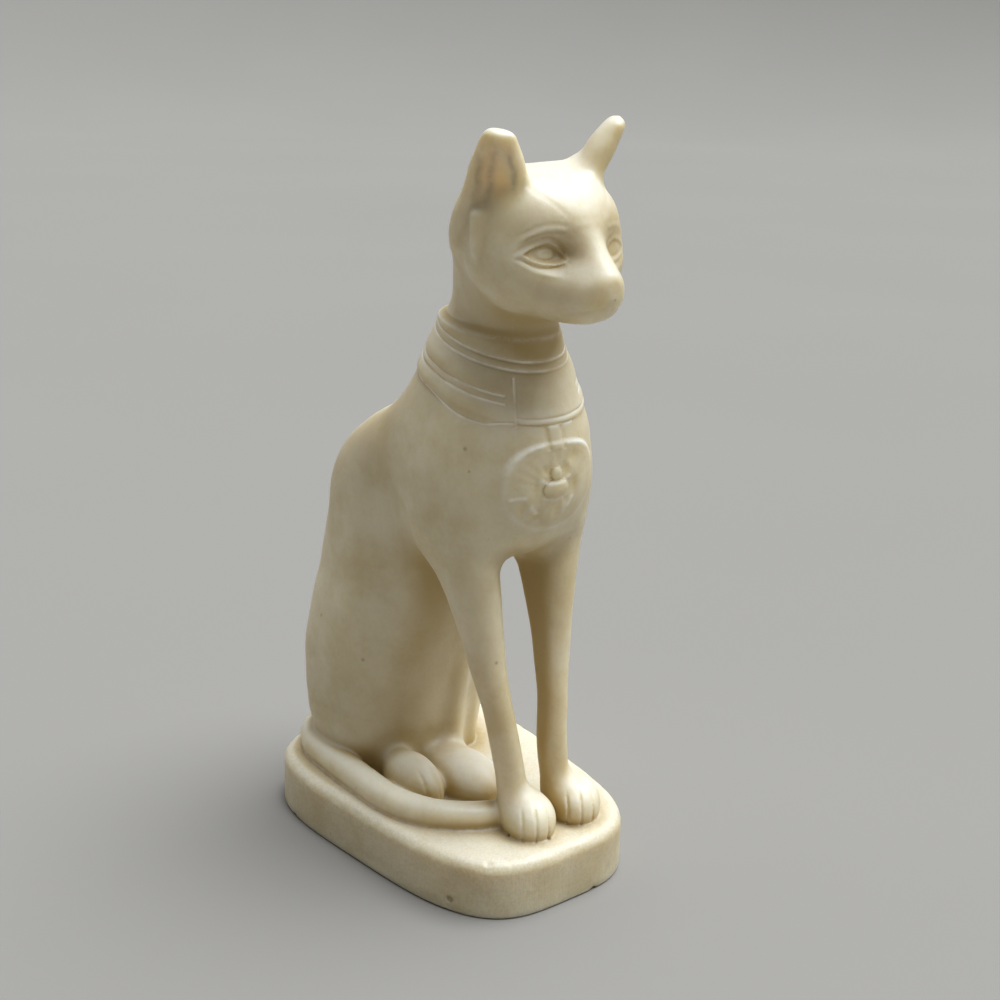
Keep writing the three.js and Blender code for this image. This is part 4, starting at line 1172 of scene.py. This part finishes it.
# Grey-brown streaks inside the ears: where each starts and ends, as place across the ear and
# along it, then its half width and how dark it is.
EAR_STREAKS = (
    ((-1.65, 5.4), (-1.6, 0.8), 0.36, 0.9),
    ((0.45, 7.5), (-0.05, 4.4), 0.32, 0.65),
    ((-0.05, 4.4), (-0.1, 0.8), 0.36, 1.0),
    ((2.2, 7.3), (2.9, 5.5), 0.3, 0.9),
    ((3.15, 4.6), (3.4, 3.3), 0.34, 1.0),
    ((4.35, 4.2), (4.5, 3.2), 0.26, 0.6),
    ((-1.55, 0.6), (-1.75, -1.3), 0.42, 0.45),
)


def streaks(points):
    """Grey-brown streaks in the ears and small brown marks in the stone."""
    x, y, z = in_figure(points)
    across, through, along = ear_place(x, y, z)
    inside = smooth_step(through, 0.0, 0.5) * (z > EARS_FROM) * np.where(x > 0, 0.5, 1)
    marks = 0
    sway = 0.12 * np.sin(along * 2.3)
    for start, end, width, dark in EAR_STREAKS:
        off_across, off_along = off_stroke(across, along, start, end)
        away = np.hypot(off_across + sway, off_along * 0.6)
        marks = np.maximum(marks, 0.55 * line(away, 1.35 * width) * inside * dark)
    for *middle, _, brown in FLAWS:
        if brown:
            marks = np.maximum(marks, line(np.linalg.norm(points - middle, axis=1), brown))
    return marks


def stains(points):
    """Yellow-brown stain in the ears' hollows, the pectoral's deep places and at the nostrils."""
    x, y, z = in_figure(points)
    across, through, along = ear_place(x, y, z)
    in_ear = line(across - 1.6, 2.6) * line(along - 2.4, 2.6)
    in_ear = in_ear * smooth_step(through, -0.4, 0.4) * (z > EARS_FROM)
    u, v = on_plate(x, z)
    on_chest = (y < CHEST_FACE) & (plate_reach(u, v) < 0.95)
    beside_strap = line(x - STRAP_GROOVES[0], 0.5) + 0.6 * line(x - STRAP_GROOVES[1], 0.5)
    beside_strap = beside_strap * (y < CHEST_FACE) * window(z, *STRAP_STAIN)
    on_front = 0.6 * np.maximum(np.where(on_chest, pectoral_hollows(u, v), 0), 0.6 * beside_strap)
    by_nostril = line(from_nostril(x, z), 1.2) * smooth_step(-y, 26.5, 28.0)
    return np.maximum(np.maximum(in_ear, on_front), 0.8 * by_nostril)


# The collar's cut lines are drawn from how far off them the surface lies, so that they stay
# as crisp as they were cut. The names say which line.
CUT_LINES = (
    "first_line", "second_line", "third_line", "fourth_line",
    "foot_line_right", "foot_line_front", "foot_line_short", "upright_line",
)
OFF_EVERY_LINE = 9.0


def put_cut_lines(mesh, points):
    """Puts on the mesh's points how far off each cut line they lie."""
    x, y, z = in_figure(points)
    for name, (off, strength) in zip(CUT_LINES, collar_offsets(x, y, z)):
        past_its_end = np.where(off < 0, -OFF_EVERY_LINE, OFF_EVERY_LINE)
        put_values(mesh, name, np.where(strength > 0.5, off, past_its_end))


def painted_top_light(outward):
    """Painted light: paler where the surface faces up."""
    return smooth_step(outward[:, 2], 0.1, 0.95)


def put_values(mesh, name, values):
    attribute = mesh.attributes.new(name, "FLOAT", "POINT")
    attribute.data.foreach_set("value", np.asarray(values, np.float32))


# Materials.

def new_group(name, inputs, outputs):
    group = bpy.data.node_groups.new(name, "ShaderNodeTree")
    for label, kind, value in inputs:
        socket = group.interface.new_socket(name=label, in_out="INPUT", socket_type=kind)
        if value is not None:
            socket.default_value = value
    for label, kind in outputs:
        group.interface.new_socket(name=label, in_out="OUTPUT", socket_type=kind)
    return group, group.nodes.new("NodeGroupInput"), group.nodes.new("NodeGroupOutput")


def connect(tree, value, socket):
    """Links an output to a socket, or sets the socket to a plain value."""
    if isinstance(value, bpy.types.NodeSocket):
        tree.links.new(value, socket)
    elif value is not None:
        socket.default_value = value


def noise(tree, place, scale, detail=3.0, roughness=0.55):
    node = tree.nodes.new("ShaderNodeTexNoise")
    connect(tree, place, node.inputs["Vector"])
    connect(tree, scale, node.inputs["Scale"])
    connect(tree, detail, node.inputs["Detail"])
    connect(tree, roughness, node.inputs["Roughness"])
    return node.outputs["Fac"]


def sum_of(tree, operation, first, second=None, third=None):
    """A sum on two or three values, each an output or a plain number."""
    node = tree.nodes.new("ShaderNodeMath")
    node.operation = operation
    for value, socket in zip((first, second, third), node.inputs):
        connect(tree, value, socket)
    return node.outputs[0]


def times(tree, first, second):
    return sum_of(tree, "MULTIPLY", first, second)


def add_times(tree, first, second, added):
    """The first value times the second, and the third added."""
    return sum_of(tree, "MULTIPLY_ADD", first, second, added)


def spread(tree, value, low, high):
    """Softly from 0 to 1 as the value goes from low to high."""
    node = tree.nodes.new("ShaderNodeMapRange")
    node.interpolation_type = "SMOOTHSTEP"
    for source, label in ((value, "Value"), (low, "From Min"), (high, "From Max")):
        connect(tree, source, node.inputs[label])
    return node.outputs["Result"]


def mix_colours(tree, share, first, second):
    node = tree.nodes.new("ShaderNodeMix")
    node.data_type = "RGBA"
    connect(tree, share, node.inputs["Factor"])
    connect(tree, first, node.inputs[6])
    connect(tree, second, node.inputs[7])
    return node.outputs[2]


def clouded_stone():
    """Soft clouds and faint veins of two colours, with a fine crystal grain."""
    group, given, made = new_group("clouded stone", [
        ("Place", "NodeSocketVector", None),
        ("Light", "NodeSocketColor", (0.8, 0.76, 0.64, 1)),
        ("Deep", "NodeSocketColor", (0.68, 0.6, 0.44, 1)),
        ("Cloud Scale", "NodeSocketFloat", 40.0),
        ("Grain Scale", "NodeSocketFloat", 900.0),
    ], [("Color", "NodeSocketColor"), ("Grain", "NodeSocketFloat")])
    clouds = noise(group, given.outputs["Place"], given.outputs["Cloud Scale"], 4.0, 0.6)
    fine_scale = times(group, given.outputs["Cloud Scale"], 4.3)
    mottle = noise(group, given.outputs["Place"], fine_scale, 3.0, 0.6)
    grain = noise(group, given.outputs["Place"], given.outputs["Grain Scale"], 2.0, 0.6)
    share = spread(group, add_times(group, mottle, 0.35, clouds), 0.5, 0.92)
    share = add_times(group, spread(group, grain, 0.35, 0.7), 0.14, share)
    colour = mix_colours(group, share, given.outputs["Light"], given.outputs["Deep"])
    connect(group, colour, made.inputs["Color"])
    connect(group, grain, made.inputs["Grain"])
    return group


def fine_pits():
    """Scattered small pits: a mask that is 1 in each pit."""
    group, given, made = new_group("fine pits", [
        ("Place", "NodeSocketVector", None),
        ("Scale", "NodeSocketFloat", 250.0),
        ("Share", "NodeSocketFloat", 0.07),
        ("Size", "NodeSocketFloat", 0.22),
    ], [("Mask", "NodeSocketFloat")])
    cells = group.nodes.new("ShaderNodeTexVoronoi")
    connect(group, given.outputs["Place"], cells.inputs["Vector"])
    connect(group, given.outputs["Scale"], cells.inputs["Scale"])
    channels = group.nodes.new("ShaderNodeSeparateColor")
    connect(group, cells.outputs["Color"], channels.inputs["Color"])
    chosen = sum_of(group, "LESS_THAN", channels.outputs["Red"], given.outputs["Share"])
    size = times(group, given.outputs["Size"], channels.outputs["Green"])
    near = spread(group, cells.outputs["Distance"], size, 0.0)
    connect(group, times(group, chosen, near), made.inputs["Mask"])
    return group


STONE_LIGHT = (0.77, 0.69, 0.50, 1)
STONE_DEEP = (0.65, 0.54, 0.32, 1)
# The colour of the painted shade in the hollows.
PAINTED_SHADE_TINT = (0.47, 0.34, 0.13, 1)
SPECKLE_BROWN = (0.42, 0.33, 0.18, 1)
# The colour of wear and of the painted glow on thin edges.
WORN_EDGE_AND_GLOW_TINT = (0.83, 0.77, 0.62, 1)
# The colour of the painted light where the surface faces up.
TOP_LIGHT_PAINT = (0.84, 0.81, 0.72, 1)
POWDER_WHITE = (0.93, 0.90, 0.80, 1)
STREAK_GREY = (0.30, 0.26, 0.16, 1)
STAIN_YELLOW = (0.82, 0.71, 0.38, 1)
PIT_BROWN = (0.22, 0.15, 0.07, 1)
CUT_LINE_HALF = 0.24             # half the width of a cut line's white powder
PLINTH_LOOK = (0.0178, 0.0158)   # from the higher to the lower, the plinth's own look sets in
# Patterns of patches: how many to a metre, how fine they go, how strong the finer ones are.
WORN_PATCHES = (130.0, 3.0, 0.55)
BROKEN_PATCHES = (420.0, 3.0, 0.65)
SPECKLES = (1500.0, 2.0, 0.7)
TOOL_MARKS = (1100.0, 4.0, 0.7)
SCRATCHES = (650.0, 3.0, 0.6)
SCRATCHES_DRAWN_UP = (1.0, 1.0, 0.12)
# How high each thing stands in the fine relief. Below 0 it is cut in.
PIT_RELIEF = -1.2
CUT_RELIEF = -0.8
TOOL_MARK_RELIEF = 1.2
SCRATCH_RELIEF = 2.6
BUMP_STRENGTH = 0.35
BUMP_DISTANCE = 0.00012
SUBSURFACE_WEIGHT = 0.6
SUBSURFACE_RADIUS = (1.0, 0.82, 0.52)
SUBSURFACE_SCALE = 0.008
STONE_SHINE = 0.45


def value_of(tree, name):
    """A value that the mesh's points carry."""
    node = tree.nodes.new("ShaderNodeAttribute")
    node.attribute_name = name
    return node.outputs["Fac"]


def effect(tree, group, place, **inputs):
    """A shared effect, set at a place and with the given inputs."""
    node = tree.nodes.new("ShaderNodeGroup")
    node.node_tree = group
    connect(tree, place, node.inputs["Place"])
    for label, value in inputs.items():
        connect(tree, value, node.inputs[label])
    return node.outputs


def cut_line_mask(tree):
    """1 on the collar's cut lines."""
    mask = None
    for name in CUT_LINES:
        off = sum_of(tree, "ABSOLUTE", value_of(tree, name))
        near = spread(tree, off, CUT_LINE_HALF, 0.25 * CUT_LINE_HALF)
        mask = near if mask is None else sum_of(tree, "MAXIMUM", mask, near)
    return mask


def fine_relief(tree, place, grain, pit, cut, on_plinth):
    """Which way the surface faces, with its grain, pits, cut lines and the plinth's tool marks."""
    height = add_times(tree, pit, PIT_RELIEF, grain)
    height = add_times(tree, cut, CUT_RELIEF, height)
    tooled = times(tree, on_plinth, noise(tree, place, *TOOL_MARKS))
    height = add_times(tree, tooled, TOOL_MARK_RELIEF, height)
    drawn_up = tree.nodes.new("ShaderNodeMapping")
    drawn_up.inputs["Scale"].default_value = SCRATCHES_DRAWN_UP
    connect(tree, place, drawn_up.inputs["Vector"])
    scratched = times(tree, noise(tree, drawn_up.outputs["Vector"], *SCRATCHES), on_plinth)
    height = add_times(tree, scratched, SCRATCH_RELIEF, height)
    bump = tree.nodes.new("ShaderNodeBump")
    bump.inputs["Strength"].default_value = BUMP_STRENGTH
    bump.inputs["Distance"].default_value = BUMP_DISTANCE
    connect(tree, height, bump.inputs["Height"])
    return bump.outputs["Normal"]


def alabaster():
    """Waxed stone, coloured in coats from the clean stone up to the white powder, among them painted
    shade in the hollows, painted light where it faces up and a painted glow on thin edges.
    """
    material = bpy.data.materials.new("waxed alabaster")
    material.use_nodes = True
    tree = material.node_tree
    shader = tree.nodes["Principled BSDF"]
    place = tree.nodes.new("ShaderNodeTexCoord").outputs["Object"]
    stone = effect(tree, clouded_stone(), place, Light=STONE_LIGHT, Deep=STONE_DEEP)
    pit = effect(tree, fine_pits(), place)["Mask"]
    height_up = tree.nodes.new("ShaderNodeSeparateXYZ")
    connect(tree, place, height_up.inputs["Vector"])
    on_plinth = spread(tree, height_up.outputs["Z"], *PLINTH_LOOK)

    broken = spread(tree, noise(tree, place, *BROKEN_PATCHES), 0.3, 0.62)
    cut = cut_line_mask(tree)
    worn_cut = add_times(tree, spread(tree, noise(tree, place, *WORN_PATCHES), 0.35, 0.6), 0.6, 0.4)
    # Painted shade in the hollows.
    hollow = times(tree, spread(tree, value_of(tree, "hollow"), 0.03, 0.45), 0.85)
    # Wear and a painted glow of light on thin edges.
    edge = times(tree, spread(tree, value_of(tree, "edge"), 0.12, 0.55), 0.45)
    dust = times(tree, value_of(tree, "powder"), add_times(tree, broken, 0.5, 0.5))
    dust = sum_of(tree, "MAXIMUM", dust, times(tree, cut, worn_cut))
    streak = times(tree, value_of(tree, "streak"), add_times(tree, broken, 0.45, 0.35))
    stain = times(tree, value_of(tree, "stain"), 0.8)
    # Painted light where the surface faces up.
    top_lit = times(tree, value_of(tree, "top_lit"), add_times(tree, broken, 0.2, 0.6))
    speckle = spread(tree, noise(tree, place, *SPECKLES), 0.42, 0.62)
    speckle = times(tree, add_times(tree, speckle, 0.15, 0.15), on_plinth)

    coats = (
        (top_lit, TOP_LIGHT_PAINT),
        (edge, WORN_EDGE_AND_GLOW_TINT),
        (hollow, PAINTED_SHADE_TINT),
        (speckle, SPECKLE_BROWN),
        (stain, STAIN_YELLOW),
        (streak, STREAK_GREY),
        (times(tree, pit, 0.55), PIT_BROWN),
        (times(tree, dust, 0.9), POWDER_WHITE),
    )
    colour = stone["Color"]
    for share, coat in coats:
        colour = mix_colours(tree, share, colour, coat)
    connect(tree, colour, shader.inputs["Base Color"])

    matt = add_times(tree, stone["Grain"], 0.18, 0.3)
    matt = add_times(tree, dust, 0.3, matt)
    matt = add_times(tree, hollow, 0.15, matt)
    connect(tree, matt, shader.inputs["Roughness"])
    facing = fine_relief(tree, place, stone["Grain"], pit, cut, on_plinth)
    connect(tree, facing, shader.inputs["Normal"])

    shader.inputs["Subsurface Weight"].default_value = SUBSURFACE_WEIGHT
    shader.inputs["Subsurface Radius"].default_value = SUBSURFACE_RADIUS
    shader.inputs["Subsurface Scale"].default_value = SUBSURFACE_SCALE
    shader.inputs["Specular IOR Level"].default_value = STONE_SHINE
    return material


FLOOR_GREYS = ((0.262, 0.252, 0.24, 1), (0.278, 0.268, 0.256, 1))


def pale_floor():
    material = bpy.data.materials.new("pale floor")
    material.use_nodes = True
    tree = material.node_tree
    shader = tree.nodes["Principled BSDF"]
    place = tree.nodes.new("ShaderNodeTexCoord").outputs["Object"]
    tone = noise(tree, place, 3.0, 2.0, 0.5)
    connect(tree, mix_colours(tree, tone, *FLOOR_GREYS), shader.inputs["Base Color"])
    shader.inputs["Roughness"].default_value = 0.85
    shader.inputs["Specular IOR Level"].default_value = 0.15
    return material


# The camera.

def camera_turn():
    """The camera's turning: its columns are its right, its up and its back."""
    level = math.cos(CAMERA_PITCH)
    back = Vector((math.sin(CAMERA_YAW) * level, -math.cos(CAMERA_YAW) * level, math.sin(CAMERA_PITCH)))
    right = (-back).cross(Vector((0, 0, 1))).normalized()
    up = right.cross(-back)
    c, s = math.cos(CAMERA_ROLL), math.sin(CAMERA_ROLL)
    columns = (c * right + s * up, -s * right + c * up, back)
    return Matrix([[column[row] for column in columns] for row in range(3)])


camera_data = bpy.data.cameras.new("camera")
camera_data.lens = LENS
camera_data.sensor_width = SENSOR
camera = bpy.data.objects.new("camera", camera_data)
camera.matrix_world = Matrix.Translation(CAMERA_AT) @ camera_turn().to_4x4()
bpy.context.collection.objects.link(camera)
bpy.context.scene.camera = camera

# The carved cat.

cat_mesh, cat_points = carve_cat()
cat_outward = lean_of(cat_points)
cat_outward /= np.maximum(np.linalg.norm(cat_outward, axis=1), 1e-6)[:, None]
# Painted shade in the hollows.
put_values(cat_mesh, "hollow", painted_shade_in_hollows(cat_points, cat_outward))
put_cut_lines(cat_mesh, cat_points)
# Wear and a painted glow of light on thin edges.
put_values(cat_mesh, "edge", worn_and_glowing_edges(cat_points, cat_outward))
# Painted light where the surface faces up.
put_values(cat_mesh, "top_lit", painted_top_light(cat_outward))
put_values(cat_mesh, "powder", powder(cat_points))
put_values(cat_mesh, "streak", streaks(cat_points))
put_values(cat_mesh, "stain", stains(cat_points))
cat_mesh.materials.append(alabaster())
cat = bpy.data.objects.new("carved_cat", cat_mesh)
bpy.context.collection.objects.link(cat)
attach(cat, "root")
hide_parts("cat_figure")

# The floor, which curves up into a low wall far off, the lights and the room.

FLOOR_FLAT = 2.6                 # metres from the middle to where the floor starts to rise
FLOOR_CURVE = 1.4
FLOOR_TURNS = 96
FLOOR_RINGS = 20
SUNS = (
    # name, from which way, strength, softness in degrees, colour
    ("overhead", (0.27, -0.15, 1.0), 4.65, 50, (0.94, 0.98, 1.0)),
    ("behind", (-0.25, 1.0, 0.9), 0.6, 60, (0.95, 0.98, 1.0)),
    ("front_right", (1.0, -0.35, 0.6), 0.6, 60, (0.97, 0.99, 1.0)),
)
ROOM_COLOUR = (0.72, 0.64, 0.50, 1)
ROOM_STRENGTH = 0.1


def floor_mesh():
    rings = [(0.3, 0.0)]
    for n in range(FLOOR_RINGS + 1):
        rise = math.radians(80) * n / FLOOR_RINGS
        rings.append((FLOOR_FLAT + FLOOR_CURVE * math.sin(rise), FLOOR_CURVE * (1 - math.cos(rise))))
    points = [(0.0, 0.0, 0.0)]
    for radius, height in rings:
        for n in range(FLOOR_TURNS):
            turn = 2 * math.pi * n / FLOOR_TURNS
            points.append((radius * math.cos(turn), radius * math.sin(turn), height))
    faces = [(0, 1 + n, 1 + (n + 1) % FLOOR_TURNS) for n in range(FLOOR_TURNS)]
    for ring in range(len(rings) - 1):
        inner = 1 + ring * FLOOR_TURNS
        for n in range(FLOOR_TURNS):
            after = (n + 1) % FLOOR_TURNS
            outer = inner + FLOOR_TURNS
            faces.append((inner + n, outer + n, outer + after, inner + after))
    mesh = bpy.data.meshes.new("floor")
    mesh.from_pydata(points, [], faces)
    mesh.polygons.foreach_set("use_smooth", np.ones(len(faces), bool))
    return mesh


floor = bpy.data.objects.new("floor", floor_mesh())
bpy.context.collection.objects.link(floor)
floor.data.materials.append(pale_floor())

for name, way, strength, softness, colour in SUNS:
    sun = bpy.data.lights.new(name, "SUN")
    sun.energy = strength
    sun.angle = math.radians(softness)
    sun.color = colour
    lamp = bpy.data.objects.new(name, sun)
    lamp.rotation_mode = "QUATERNION"
    lamp.rotation_quaternion = Vector(way).to_track_quat("Z", "Y")
    bpy.context.collection.objects.link(lamp)

world = bpy.data.worlds.new("room")
world.use_nodes = True
world.node_tree.nodes["Background"].inputs["Color"].default_value = ROOM_COLOUR
world.node_tree.nodes["Background"].inputs["Strength"].default_value = ROOM_STRENGTH
bpy.context.scene.world = world
bpy.context.scene.view_settings.view_transform = "Standard"
